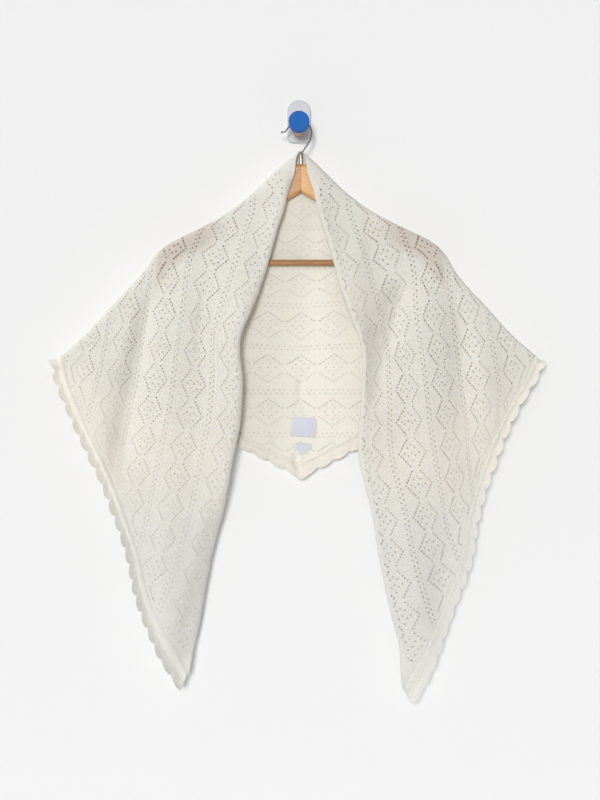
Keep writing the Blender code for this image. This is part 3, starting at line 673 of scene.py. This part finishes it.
def laceFlat(columns, cuts, bowed, hem):
    # flat cells with their eyelets, cut to the panel: across, depth and chart row of each corner
    wide = lace["columnWidth"]
    rows = range(*lace["rows"])
    rings = {kind: eyeletRing(kind) for kind in ("low", "high", "open", "leftSlot", "rightSlot")}
    cells = [(c, r) for c in columns for r in rows]
    middle = np.array([(c * wide, 0.0) for c, r in cells])
    middle[:, 1] = chartDepth(np.array([r for c, r in cells], float), middle[:, 0])
    room = np.full(len(cells), 1.0)
    for line in cuts:
        room = np.minimum(room, -sideOf(middle, line))
    bowedMiddle = middle + np.stack([middle[:, 0] * 0, hemBow(middle[:, 0])], axis=-1) * bowed
    hemRoom = np.full(len(cells), 1.0)
    for line in hem:
        hemRoom = np.minimum(hemRoom, -sideOf(bowedMiddle, line))
    sizes = eyeletSizes(middle, bowed)
    mesh = bmesh.new()
    rowLayer = mesh.verts.layers.float.new("row")
    ringLayer = mesh.verts.layers.float.new("ring")
    corners = {}
    made = []

    def corner(c, r):
        key = (c, r)
        if key not in corners:
            corners[key] = mesh.verts.new((c * wide, 0.0, 0.0))
            corners[key][rowLayer] = r
            made.append((corners[key], c * wide, r))
        return corners[key]

    for k, (c, r) in enumerate(cells):
        if min(room[k], hemRoom[k]) < -lace["spareCut"] or middle[k, 1] < -lace["spareEdge"]:
            continue
        box = [corner(c + du, r + dv) for du, dv in ((-0.5, -0.5), (0.5, -0.5), (0.5, 0.5), (-0.5, 0.5))]
        kind = eyeletKind(c, r)
        isClear = room[k] > lace["clear"] and hemRoom[k] > lace["plainHem"] - shawl["edgingWidth"]
        if kind is None or not isClear or middle[k, 1] < lace["plainBand"]:
            mesh.faces.new(box)
            continue
        size = sizes[k] * (1 + lace["uneven"] * (2 * chance(c, r, 1) - 1))
        strayU, strayV = (lace["stray"] * (2 * chance(c, r, key) - 1) for key in (2, 3))
        ring = []
        for du, dv in rings[kind]:
            vert = mesh.verts.new((0.0, 0.0, 0.0))
            ringRow = r + dv * size + strayV
            vert[rowLayer] = ringRow
            vert[ringLayer] = 1.0
            made.append((vert, (c + du * size + strayU) * wide, ringRow))
            ring.append(vert)
        # the ring's points run from 22.5 degrees round; the box's corners sit at 225, 315, 45 and 135
        for j, first in enumerate((4, 6, 0, 2)):
            mesh.faces.new((box[j], ring[(first + 1) % 8], ring[first % 8]))
            mesh.faces.new((box[j], box[(j + 1) % 4], ring[(first + 2) % 8], ring[(first + 1) % 8]))
    across = np.array([m[1] for m in made])
    depth = chartDepth(np.array([m[2] for m in made]), across)
    for (vert, s, r), d in zip(made, depth):
        vert.co = (s, d, 0.0)
    for line in cuts:
        cutBy(mesh, line)
    for vert in mesh.verts:
        vert.co.y += float(hemBow(vert.co.x)) * bowed
    for line in hem:
        cutBy(mesh, line)
    for vert in mesh.verts:
        vert.co.y -= float(hemBow(vert.co.x)) * bowed
    bmesh.ops.delete(mesh, geom=[v for v in mesh.verts if not v.link_faces], context="VERTS")
    mesh.verts.index_update()
    flat = np.array([(v.co.x, v.co.y) for v in mesh.verts])
    row = np.array([v[rowLayer] for v in mesh.verts])
    atEyelet = np.array([v[ringLayer] for v in mesh.verts])
    faces = [[v.index for v in f.verts] for f in mesh.faces]
    rims = [
        (loop.vert.index, loop.link_loop_next.vert.index)
        for f in mesh.faces
        for loop in f.loops
        if len(loop.edge.link_faces) == 1
    ]
    mesh.free()
    return flat, row, atEyelet, faces, rims


def shell(name, place, normal, faces, rims, uv, thickness, material):
    # a thin closed shell on the cloth's middle: faces outside and inside, walls at every rim
    count = len(place)
    half = np.asarray(thickness)[..., None] / 2 if np.ndim(thickness) else thickness / 2
    points = np.concatenate([place + normal * half, place - normal * half])
    polys = [tuple(f) for f in faces] + [tuple(i + count for i in reversed(f)) for f in faces]
    polys += [(b, a, a + count, b + count) for a, b in rims]
    data = bpy.data.meshes.new(name)
    data.from_pydata(points.tolist(), [], polys)
    corners = np.zeros(len(data.loops), dtype=np.int64)
    data.loops.foreach_get("vertex_index", corners)
    layer = data.uv_layers.new(name="knit")
    both = np.concatenate([uv, uv])
    layer.data.foreach_set("uv", both[corners].astype(np.float32).ravel())
    solid = bmesh.new()
    solid.from_mesh(data)
    if solid.calc_volume(signed=True) < 0:
        bmesh.ops.reverse_faces(solid, faces=solid.faces)
        solid.to_mesh(data)
    solid.free()
    data.shade_smooth()
    data.set_sharp_from_angle(angle=math.radians(50.0))
    data.materials.append(material)
    item = bpy.data.objects.new(name, data)
    bpy.context.scene.collection.objects.link(item)
    return item


def stripFaces(shape):
    # faces and rims of a strip whose points lie in rows and columns
    rows, columns = shape
    index = np.arange(rows * columns).reshape(rows, columns)
    faces = [
        (index[i, j], index[i, j + 1], index[i + 1, j + 1], index[i + 1, j])
        for i in range(rows - 1)
        for j in range(columns - 1)
    ]
    ring = [(0, j) for j in range(columns)] + [(i, columns - 1) for i in range(1, rows)]
    ring += [(rows - 1, j) for j in range(columns - 2, -1, -1)] + [(i, 0) for i in range(rows - 2, 0, -1)]
    return faces, [(index[a], index[b]) for a, b in zip(ring, ring[1:] + ring[:1])]


# the knit's finish

wool = {
    # pale on the yarn's tops, deep as painted shade in the stitch valleys
    "pale": (0.900, 0.870, 0.795),
    "deep": (0.770, 0.715, 0.620),
    "backPaintedLightPale": (0.985, 0.945, 0.845),  # painted light: the back's copy of the wool is paler and warmer, standing in for more light on it
    "backPaintedLightDeep": (0.910, 0.845, 0.720),
    "sheen": 0.30,
    "sheenRoughness": 0.45,
    "sheenTint": (1.0, 0.98, 0.93),
    "bump": 0.85,
    "bumpHeight": 0.0010,
    # painted show-through and shade: the knit is tinted brown over the arms, as if the wood showed through it
    "paintedShowThroughTint": (0.430, 0.330, 0.280),
    "paintedShowThroughShare": 0.38,
    "cool": (0.905, 0.940, 1.000),  # painted cooler light: the points are tinted bluer, as if they hung in cooler light
    "eyeletShade": (0.660, 0.600, 0.530),  # painted shade round each eyelet, where the yarn turns away from the light as it bends round it
    "eyeletHigh": 0.38,  # share of it high up on the fronts
    "eyeletLow": (-0.36, -0.56),  # heights between which it changes to the shares of the points
    "eyeletLeft": 0.30,
    "eyeletRight": 0.54,
    "eyeletBack": 0.30,
    "coolFrom": -0.50,
    "coolTo": -0.72,
    "through": 0.45,  # light the thin knit lets through
    "throughWay": 0.0028,
    "throughColours": (1.0, 0.85, 0.65),
    "specular": 0.2,
}


def newGroup(name, takes, gives):
    group = bpy.data.node_groups.new(name, "ShaderNodeTree")
    for socket, kind, value in takes:
        made = group.interface.new_socket(name=socket, in_out="INPUT", socket_type=kind)
        if value is not None:
            made.default_value = value
    for socket, kind in gives:
        group.interface.new_socket(name=socket, in_out="OUTPUT", socket_type=kind)
    start = group.nodes.new("NodeGroupInput").outputs
    end = group.nodes.new("NodeGroupOutput").inputs
    return group, start, end


def makeKnitGroup():
    # V stitches on the piece's own map, 1 unit a stitch across and 1 a row down, with fibre fuzz; the colour
    # is painted shade, Deep in the stitch valleys and Pale on the yarn's tops, with random clouds and speckle
    group, start, end = newGroup(
        "knitStitches",
        [
            ("Pale", "NodeSocketColor", (0.9, 0.88, 0.8, 1.0)),
            ("Deep", "NodeSocketColor", (0.8, 0.76, 0.65, 1.0)),
            ("Stitches", "NodeSocketFloat", 2.0),
            ("Rows", "NodeSocketFloat", 2.0),
            ("Cloudiness", "NodeSocketFloat", 0.35),
            ("Speckle", "NodeSocketFloat", 1.3),
        ],
        [("Color", "NodeSocketColor"), ("Roughness", "NodeSocketFloat"), ("Height", "NodeSocketFloat")],
    )
    uv = addNode(group, "UVMap", uv_map="knit")
    spot = addNode(group, "TexCoord")
    parts = addNode(group, "SeparateXYZ", {"Vector": uv.outputs["UV"]})
    wobble = addNode(group, "TexNoise", {"Vector": spot.outputs["Object"], "Scale": 190.0, "Detail": 1.0})
    shift = calc(group, "MULTIPLY", calc(group, "SUBTRACT", wobble.outputs["Fac"], 0.5), 0.7)
    u = calc(group, "ADD", calc(group, "MULTIPLY", parts.outputs["X"], start["Stitches"]), shift)
    v = calc(group, "ADD", calc(group, "MULTIPLY", parts.outputs["Y"], start["Rows"]), shift)
    fromMiddle = calc(group, "ABSOLUTE", calc(group, "SUBTRACT", calc(group, "FRACT", u), 0.5))
    leg = calc(group, "ABSOLUTE", calc(group, "SINE", calc(group, "MULTIPLY", fromMiddle, 2 * math.pi)))
    leg = calc(group, "POWER", calc(group, "ADD", leg, 0.02), 0.6)
    slant = calc(group, "ADD", v, calc(group, "MULTIPLY", fromMiddle, 1.1))
    wave = calc(group, "SINE", calc(group, "MULTIPLY", slant, 2 * math.pi))
    yarn = calc(group, "MULTIPLY", leg, calc(group, "ADD", calc(group, "MULTIPLY", wave, 0.32), 0.68))
    fibre = addNode(group, "TexNoise", {"Vector": spot.outputs["Object"], "Scale": 1500.0, "Detail": 3.0})
    height = calc(group, "ADD", yarn, calc(group, "MULTIPLY", fibre.outputs["Fac"], 0.55))
    cloud = addNode(group, "TexNoise", {"Vector": spot.outputs["Object"], "Scale": 26.0, "Detail": 4.0})
    soft = calc(group, "MULTIPLY", cloud.outputs["Fac"], start["Cloudiness"])
    tension = addNode(group, "TexNoise", {"Vector": spot.outputs["Object"], "Scale": 430.0, "Detail": 2.0})
    loose = calc(group, "MULTIPLY", calc(group, "SUBTRACT", tension.outputs["Fac"], 0.5), start["Speckle"])
    # painted shade: the stitch valleys go towards Deep; clouds and speckle vary the tone at random
    valleyShadeAndMottle = calc(group, "SUBTRACT", calc(group, "ADD", calc(group, "MULTIPLY", height, 0.62), 0.30), soft)
    valleyShadeAndMottle = calc(group, "ADD", valleyShadeAndMottle, loose)
    tone = addNode(group, "Mix", data_type="RGBA", clamp_factor=True)
    group.links.new(valleyShadeAndMottle, tone.inputs["Factor"])
    group.links.new(start["Deep"], tone.inputs["A"])
    group.links.new(start["Pale"], tone.inputs["B"])
    group.links.new(tone.outputs["Result"], end["Color"])
    matt = calc(group, "SUBTRACT", 1.0, calc(group, "MULTIPLY", fibre.outputs["Fac"], 0.16))
    group.links.new(matt, end["Roughness"])
    group.links.new(height, end["Height"])
    return group


knitGroup = makeKnitGroup()


def clothMaterial(name, stitches, rows, pale, deep):
    made, tree, shader = newMaterial(name)
    knit = addNode(tree, "Group", {"Pale": opaque(pale), "Deep": opaque(deep)}, node_tree=knitGroup)
    feed(tree, knit, {"Stitches": stitches, "Rows": rows})
    spot = addNode(tree, "TexCoord")
    height = addNode(tree, "SeparateXYZ", {"Vector": spot.outputs["Object"]})
    # painted cooler light: tinted bluer lower down, from coolFrom to coolTo
    low = addNode(tree, "MapRange", {"Value": height.outputs["Z"]}, interpolation_type="SMOOTHSTEP")
    feed(tree, low, {"From Min": wool["coolFrom"], "From Max": wool["coolTo"]})
    coolLightPainted = addNode(tree, "Mix", data_type="RGBA", blend_type="MULTIPLY")
    feed(tree, coolLightPainted, {"Factor": low.outputs["Result"], "A": knit.outputs["Color"]})
    feed(tree, coolLightPainted, {"B": opaque(wool["cool"])})
    # painted show-through and shade: brown over the arms where the wood would show through the thin knit
    wood = addNode(tree, "Attribute", attribute_name="overWood")
    paintedShowThroughShare = calc(tree, "MULTIPLY", wood.outputs["Fac"], wool["paintedShowThroughShare"])
    tinted = addNode(tree, "Mix", data_type="RGBA", clamp_factor=True)
    feed(tree, tinted, {"Factor": paintedShowThroughShare, "A": coolLightPainted.outputs["Result"], "B": opaque(wool["paintedShowThroughTint"])})
    # painted shade: the eyelets' ring points are darkened towards eyeletShade
    near = addNode(tree, "Attribute", attribute_name="nearEyelet")
    turned = addNode(tree, "Mix", data_type="RGBA", blend_type="MULTIPLY")
    feed(tree, turned, {"Factor": near.outputs["Fac"], "A": tinted.outputs["Result"]})
    feed(tree, turned, {"B": opaque(wool["eyeletShade"])})
    bump = addNode(tree, "Bump", {"Strength": wool["bump"], "Distance": wool["bumpHeight"]})
    feed(tree, bump, {"Height": knit.outputs["Height"]})
    feed(
        tree,
        shader,
        {
            "Base Color": turned.outputs["Result"],
            "Roughness": knit.outputs["Roughness"],
            "Normal": bump.outputs["Normal"],
            "Subsurface Weight": wool["through"],
            "Subsurface Radius": wool["throughColours"],
            "Subsurface Scale": wool["throughWay"],
            "Sheen Weight": wool["sheen"],
            "Sheen Roughness": wool["sheenRoughness"],
            "Sheen Tint": opaque(wool["sheenTint"]),
            "Specular IOR Level": wool["specular"],
        },
    )
    return made


laceKnit = clothMaterial("creamLaceKnit", 2.0, 2.0, wool["pale"], wool["deep"])
# a paler, warmer copy of the wool for the back: painted light
backPaintedLightKnit = clothMaterial("creamLaceKnitBackPaintedLight", 2.0, 2.0, wool["backPaintedLightPale"], wool["backPaintedLightDeep"])
edgeKnit = clothMaterial("creamEdgeKnit", 1.0, 1.0, wool["pale"], wool["deep"])

# lace panels


def lacePanel(name, columns, cuts, bowed, hem, stands):
    flatSpots, row, atEyelet, faces, rims = laceFlat(columns, cuts, bowed, hem)
    place, normal = clothBoth(flatSpots[:, 0], flatSpots[:, 1])
    rise = ribRise(flatSpots[:, 0], row) * (-0.6 if bowed else 1.0)
    place = place + normal * rise[:, None]
    uv = np.stack([flatSpots[:, 0] / lace["columnWidth"] + 0.5, row], axis=-1)
    item = shell(name, place, normal, faces, rims, uv, shawl["thickness"], backPaintedLightKnit if bowed else laceKnit)
    shawlOnly.objects.link(item)
    wood = overWood(flatSpots, place)
    # painted shade round the eyelets: its share on their ring points, by side and height
    start, end = wool["eyeletLow"]
    low = ease((start - place[:, 2]) / (start - end))
    lowShare = np.where(flatSpots[:, 0] < 0, wool["eyeletLeft"], wool["eyeletRight"])
    share = wool["eyeletHigh"] + (lowShare - wool["eyeletHigh"]) * low
    nearEyelet = atEyelet * (wool["eyeletBack"] if bowed else share)
    for key, values in (("overWood", wood), ("nearEyelet", nearEyelet)):
        layer = item.data.attributes.new(key, "FLOAT", "POINT")
        layer.data.foreach_set("value", np.concatenate([values, values]).astype(np.float32))
    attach(item, "root")
    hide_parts(*stands)
    print(name, len(item.data.polygons), "faces")


lacePanel(
    "laceFrontLeft",
    range(-216, 3),
    [mirrored((splitLine[0], -splitLine[1]), -1.0)],
    0.0,
    [mirrored(frontHem, -1.0)],
    ["shawl_front_left", "shawl_point_left"],
)
lacePanel(
    "laceFrontRight",
    range(-2, 217),
    [(splitLine[0], -splitLine[1])],
    0.0,
    [frontHem],
    ["shawl_front_right", "shawl_point_right"],
)
lacePanel(
    "laceBack",
    range(-98, 99),
    [splitLine, mirrored(splitLine, -1.0)],
    1.0,
    [backHem, mirrored(backHem, -1.0)],
    ["shawl_back"],
)
print("lace panels made")

# scalloped edging

edging = {
    "stations": 14,  # along one scallop
    "rows": 10,  # across the strip
    "lobePower": 0.7,
    "ridgeAt": 0.20,
    "ridgeWide": 0.13,
    "ridgeRise": {"edgingFrontLeft": 0.0020, "edgingFrontRight": 0.0012, "edgingBack": 0.0012},
    "rim": 0.0012,
    "pointRise": 0.0060,
    "thickness": 0.0014,
    # how far the rims curl to the viewer
    "cup": {"edgingFrontLeft": 0.0078, "edgingFrontRight": 0.0036, "edgingBack": -0.0022},
    "dip": 0.0014,
}


def cornersInside(inset):
    first = (elbowFlat - pointFlat) / np.linalg.norm(elbowFlat - pointFlat)
    second = (tipFlat - elbowFlat) / np.linalg.norm(tipFlat - elbowFlat)
    intoFirst = np.array([first[1], -first[0]])
    intoSecond = np.array([second[1], -second[0]])
    intoElbow = intoFirst + intoSecond
    intoElbow /= intoElbow @ intoFirst
    point = pointFlat - np.array([0.0, inset / first[0]])
    tip = tipFlat + np.array([inset / second[1], 0.0])
    return point, elbowFlat + intoElbow * inset, tip


def edgeLine(share, inset):
    point, elbow, tip = cornersInside(inset)
    first = np.clip(share, 0, 1)
    second = np.clip(np.asarray(share, float) - 1, 0, 1)
    along = point[0] + (elbow[0] - point[0]) * first + (tip[0] - elbow[0]) * second
    depth = point[1] + (elbow[1] - point[1]) * first + (tip[1] - elbow[1]) * second
    return along, depth - shawl["hemBow"] * np.sin(math.pi * first)


def shareAtSplit(inset):
    shares = np.linspace(0.5, 1.5, 2001)
    return float(np.interp(-shawl["splitBehind"], fromFold(*edgeLine(shares, inset)), shares))


def edgeLineOut(share, inset, rise):
    along, depth = edgeLine(share, inset)
    nearAlong, nearDepth = edgeLine(share, inset + 0.001)
    way = np.stack([along - nearAlong, depth - nearDepth], axis=-1)
    way /= np.linalg.norm(way, axis=-1, keepdims=True)
    return along + way[..., 0] * rise, depth + way[..., 1] * rise


def edgingFlat(finish, scallops):
    # flat points of a strip: stations along it by rows across it, and each row's place
    count = scallops * edging["stations"]
    step = np.arange(count + 1) / count
    lobe = shawl["scallopRise"] * np.abs(np.sin(math.pi * step * scallops)) ** edging["lobePower"]
    if finish == 0.0:  # the back's edging ends in a sharp point
        lobe = lobe + edging["pointRise"] * np.exp(-(((1 - step) * scallops / 0.30) ** 2))
    places = np.linspace(0.0, 1.0, edging["rows"])
    lines = []
    for place in places:
        inset = shawl["edgingWidth"] * (1 - place)
        first = shareAtSplit(inset)
        lines.append(edgeLineOut(first + (finish - first) * step, inset, lobe * place))
    along = np.stack([a for a, _ in lines], axis=1)
    depth = np.stack([d for _, d in lines], axis=1)
    return along, depth, step * scallops, places


def edgingStrip(name, across, depth, scallopAt, places, node):
    place, normal = clothBoth(across, depth)
    p = places[None, :]
    uneven = np.array([0.65 + 0.7 * chance(math.floor(at - 1e-6), len(name)) for at in scallopAt])[:, None]
    ridge = edging["ridgeRise"][name] * np.exp(-(((p - edging["ridgeAt"]) / edging["ridgeWide"]) ** 2))
    bulge = np.abs(np.sin(math.pi * scallopAt))[:, None]
    outer = np.clip((p - 0.40) / 0.60, 0, 1) ** 1.3
    lift = ridge * (0.8 + 0.2 * bulge) + edging["cup"][name] * uneven * (0.25 + 0.75 * bulge**0.8) * outer
    lift = lift - edging["dip"] * bulge * np.exp(-(((p - 0.52) / 0.14) ** 2))
    place = place + normal * lift[..., None]
    faces, rims = stripFaces(across.shape)
    thick = edging["thickness"] + edging["rim"] * np.exp(-(((1 - p) / 0.12) ** 2)) + 0 * place[..., 0]
    uv = np.stack([scallopAt[:, None] * 12.0 + 0 * p, 8.0 * p + 0 * place[..., 0]], axis=-1)
    place, normal, uv = place.reshape(-1, 3), normal.reshape(-1, 3), uv.reshape(-1, 2)
    item = shell(name, place, normal, faces, rims, uv, thick.ravel(), edgeKnit)
    shawlOnly.objects.link(item)
    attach(item, "root")
    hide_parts(node)
    print(name, len(item.data.polygons), "faces")


for side, shape in sides.items():
    along, depth, scallopAt, places = edgingFlat(2.0, shawl["frontScallops"])
    edgingStrip(
        "edgingFront" + side.capitalize(),
        shape["sign"] * np.maximum(along, 1e-6),
        depth,
        scallopAt,
        places,
        "edging_front_" + side,
    )
along, depth, scallopAt, places = edgingFlat(0.0, shawl["backScallops"])
edgingStrip(
    "edgingBack",
    np.concatenate([-np.maximum(along, 1e-6), along[-2::-1]]),
    np.concatenate([depth, depth[-2::-1]]),
    np.concatenate([scallopAt, 2 * scallopAt[-1] - scallopAt[-2::-1]]),
    places,
    "edging_back",
)
print("edging made")

# satin label and small tag, both blank

label = {
    "middle": (0.0040, 0.4300),
    "size": (0.0375, 0.0280),
    "turn": math.radians(-4.6),
    "thickness": 0.0004,
    "lift": 0.0016,
    "belly": 0.0012,  # how far its middle stands off the knit
}
tag = {
    "middle": (0.0026, 0.4640),
    "size": (0.027, 0.016),
    "thickness": 0.0004,
    "lift": 0.0019,
}
satin = {
    "pale": (0.56, 0.57, 0.63),
    "deep": (0.45, 0.46, 0.53),
    "roughness": 0.42,
    "threads": 2600.0,
}


def satinMaterial():
    made, tree, shader = newMaterial("blankSatin")
    uv = addNode(tree, "UVMap", uv_map="knit")
    parts = addNode(tree, "SeparateXYZ", {"Vector": uv.outputs["UV"]})
    warp = calc(tree, "SINE", calc(tree, "MULTIPLY", parts.outputs["X"], satin["threads"]))
    weft = calc(tree, "SINE", calc(tree, "MULTIPLY", parts.outputs["Y"], satin["threads"] * 0.5))
    warp = calc(tree, "ABSOLUTE", warp)
    weft = calc(tree, "ABSOLUTE", weft)
    weave = calc(tree, "ADD", calc(tree, "MULTIPLY", warp, 0.6), calc(tree, "MULTIPLY", weft, 0.4))
    spot = addNode(tree, "TexCoord")
    cloud = addNode(tree, "TexNoise", {"Vector": spot.outputs["Object"], "Scale": 120.0, "Detail": 3.0})
    tone = addNode(tree, "Mix", data_type="RGBA")
    # painted sheen: the satin is lighter along the weave's threads, with random clouds, mixed into its colour
    paintedSatinSheen = calc(tree, "MULTIPLY", calc(tree, "ADD", weave, cloud.outputs["Fac"]), 0.6)
    feed(tree, tone, {"Factor": paintedSatinSheen, "A": opaque(satin["deep"]), "B": opaque(satin["pale"])})
    matt = calc(tree, "ADD", calc(tree, "MULTIPLY", cloud.outputs["Fac"], 0.2), satin["roughness"] - 0.1)
    bump = addNode(tree, "Bump", {"Strength": 0.4, "Distance": 0.0002, "Height": weave})
    feed(tree, shader, {"Base Color": tone.outputs["Result"], "Normal": bump.outputs["Normal"]})
    feed(tree, shader, {"Roughness": matt, "Sheen Weight": 0.15})
    return made


satinCloth = satinMaterial()


def sewnPatch(name, across, depth, lift, thickness, node):
    place, normal = clothBoth(across, depth)
    place = place - normal * lift[..., None]
    faces, rims = stripFaces(across.shape)
    uv = np.stack([across, depth], axis=-1).reshape(-1, 2)
    item = shell(name, place.reshape(-1, 3), normal.reshape(-1, 3), faces, rims, uv, thickness, satinCloth)
    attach(item, "root")
    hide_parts(node)


u, v = np.meshgrid(np.linspace(-0.5, 0.5, 25), np.linspace(-0.5, 0.5, 21), indexing="ij")
wide, high = label["size"]
turnedAcross = u * wide * math.cos(label["turn"]) + v * high * math.sin(label["turn"])
turnedDown = v * high * math.cos(label["turn"]) - u * wide * math.sin(label["turn"])
sewnPatch(
    "blankLabel",
    label["middle"][0] + turnedAcross,
    label["middle"][1] + turnedDown,
    label["lift"] + label["belly"] * (v + 0.5) * (1 - (2 * u) ** 4 * 0.4) * (1.6 - (v + 0.5)),
    label["thickness"],
    "label",
)
wide, high = tag["size"]
half = wide / 2 * (1 - 0.93 * (v + 0.5) ** 1.7)
sewnPatch(
    "blankTag",
    tag["middle"][0] + 2 * u * half,
    tag["middle"][1] + v * high,
    tag["lift"] + 0.0006 * (v + 0.5) + 0 * u,
    tag["thickness"],
    "care_tag",
)
print("labels made")

# wood, steel, plate and lacquer of the hanger and the peg

woods = {
    # node: light, dark, turns of the grain in the upright and the level plane (degrees), fineness
    "hanger_arm_left": ((0.600, 0.320, 0.125), (0.450, 0.220, 0.080), (29.0, 0.0), 1.0),
    "hanger_arm_right": ((0.760, 0.440, 0.190), (0.580, 0.300, 0.120), (-29.0, 0.0), 1.1),
    "trouser_bar": ((0.490, 0.255, 0.100), (0.280, 0.135, 0.055), (0.0, 0.0), 1.4),
    "peg_shaft": ((0.560, 0.390, 0.260), (0.450, 0.290, 0.180), (0.0, 90.0), 1.2),
}


def makeWoodGroup():
    group, start, end = newGroup(
        "woodGrain",
        [
            ("Light", "NodeSocketColor", None),
            ("Dark", "NodeSocketColor", None),
            ("Turn", "NodeSocketVector", None),
            ("Fineness", "NodeSocketFloat", 1.0),
        ],
        [("Color", "NodeSocketColor"), ("Roughness", "NodeSocketFloat"), ("Height", "NodeSocketFloat")],
    )
    spot = addNode(group, "TexCoord")
    turned = addNode(group, "Mapping", {"Vector": spot.outputs["Object"], "Rotation": start["Turn"]})
    long = addNode(group, "Mapping", {"Vector": turned.outputs["Vector"], "Scale": (6.0, 90.0, 90.0)})
    fineness = start["Fineness"]
    grain = addNode(group, "TexNoise", {"Vector": long.outputs["Vector"], "Scale": fineness, "Detail": 4.0})
    fine = addNode(group, "Mapping", {"Vector": turned.outputs["Vector"], "Scale": (60.0, 900.0, 900.0)})
    pores = addNode(group, "TexNoise", {"Vector": fine.outputs["Vector"], "Scale": fineness, "Detail": 2.0})
    rings = calc(group, "SINE", calc(group, "MULTIPLY", grain.outputs["Fac"], 46.0))
    ringTone = calc(group, "ADD", calc(group, "MULTIPLY", rings, 0.22), 0.5)
    poreTone = calc(group, "MULTIPLY", calc(group, "SUBTRACT", pores.outputs["Fac"], 0.5), 0.9)
    tone = addNode(group, "Mix", data_type="RGBA", clamp_factor=True)
    group.links.new(calc(group, "ADD", ringTone, poreTone), tone.inputs["Factor"])
    group.links.new(start["Light"], tone.inputs["A"])
    group.links.new(start["Dark"], tone.inputs["B"])
    group.links.new(tone.outputs["Result"], end["Color"])
    matt = calc(group, "ADD", calc(group, "MULTIPLY", pores.outputs["Fac"], 0.3), 0.28)
    group.links.new(matt, end["Roughness"])
    group.links.new(calc(group, "SUBTRACT", 1.0, calc(group, "ADD", ringTone, poreTone)), end["Height"])
    return group


woodGroup = makeWoodGroup()


def finishNode(name, material):
    nodes[name].data.materials.clear()
    nodes[name].data.materials.append(material)


for node, (light, dark, (upright, level), fineness) in woods.items():
    made, tree, shader = newMaterial(node + "Wood")
    wood = addNode(tree, "Group", {"Light": opaque(light), "Dark": opaque(dark)}, node_tree=woodGroup)
    feed(tree, wood, {"Turn": (0.0, math.radians(upright), math.radians(level)), "Fineness": fineness})
    bump = addNode(tree, "Bump", {"Strength": 0.25, "Distance": 0.0002, "Height": wood.outputs["Height"]})
    feed(tree, shader, {"Base Color": wood.outputs["Color"], "Roughness": wood.outputs["Roughness"]})
    feed(tree, shader, {"Normal": bump.outputs["Normal"], "Specular IOR Level": 0.25})
    feed(tree, shader, {"Coat Weight": 0.06, "Coat Roughness": 0.25})
    finishNode(node, made)

smooth = {
    # name: its nodes, two tones, metal, least roughness, scale of its mottling, bump
    "bentSteel": (
        ("hook", "hook_sleeve", "hook_tip"),
        ((0.62, 0.62, 0.62), (0.48, 0.48, 0.50)),
        (1.0, 0.16, 300.0, 0.06),
    ),
    "paleMouldedPlate": (
        ("wall_plate",),
        ((0.600, 0.605, 0.640), (0.570, 0.575, 0.610)),
        (0.0, 0.42, 900.0, 0.10),
    ),
    "blueLacquer": (
        ("peg_head",),
        ((0.003, 0.118, 0.445), (0.003, 0.104, 0.410)),
        (0.0, 0.46, 160.0, 0.08),
    ),
}
for title, (names, (toneA, toneB), (metal, rough, scale, strength)) in smooth.items():
    made, tree, shader = newMaterial(title)
    spot = addNode(tree, "TexCoord").outputs["Object"]
    cloud = addNode(tree, "TexNoise", {"Vector": spot, "Scale": scale * 0.25, "Detail": 4.0})
    grit = addNode(tree, "TexNoise", {"Vector": spot, "Scale": scale * 4.0, "Detail": 2.0})
    tone = addNode(tree, "Mix", data_type="RGBA")
    feed(tree, tone, {"Factor": cloud.outputs["Fac"], "A": opaque(toneA), "B": opaque(toneB)})
    matt = calc(tree, "ADD", calc(tree, "MULTIPLY", cloud.outputs["Fac"], 0.16), rough)
    bump = addNode(tree, "Bump", {"Strength": strength, "Distance": 0.0002, "Height": grit.outputs["Fac"]})
    feed(tree, shader, {"Base Color": tone.outputs["Result"], "Normal": bump.outputs["Normal"]})
    feed(tree, shader, {"Roughness": matt, "Metallic": metal, "Specular IOR Level": 0.25})
    for name in names:
        finishNode(name, made)
print("hanger, hook and peg finished")
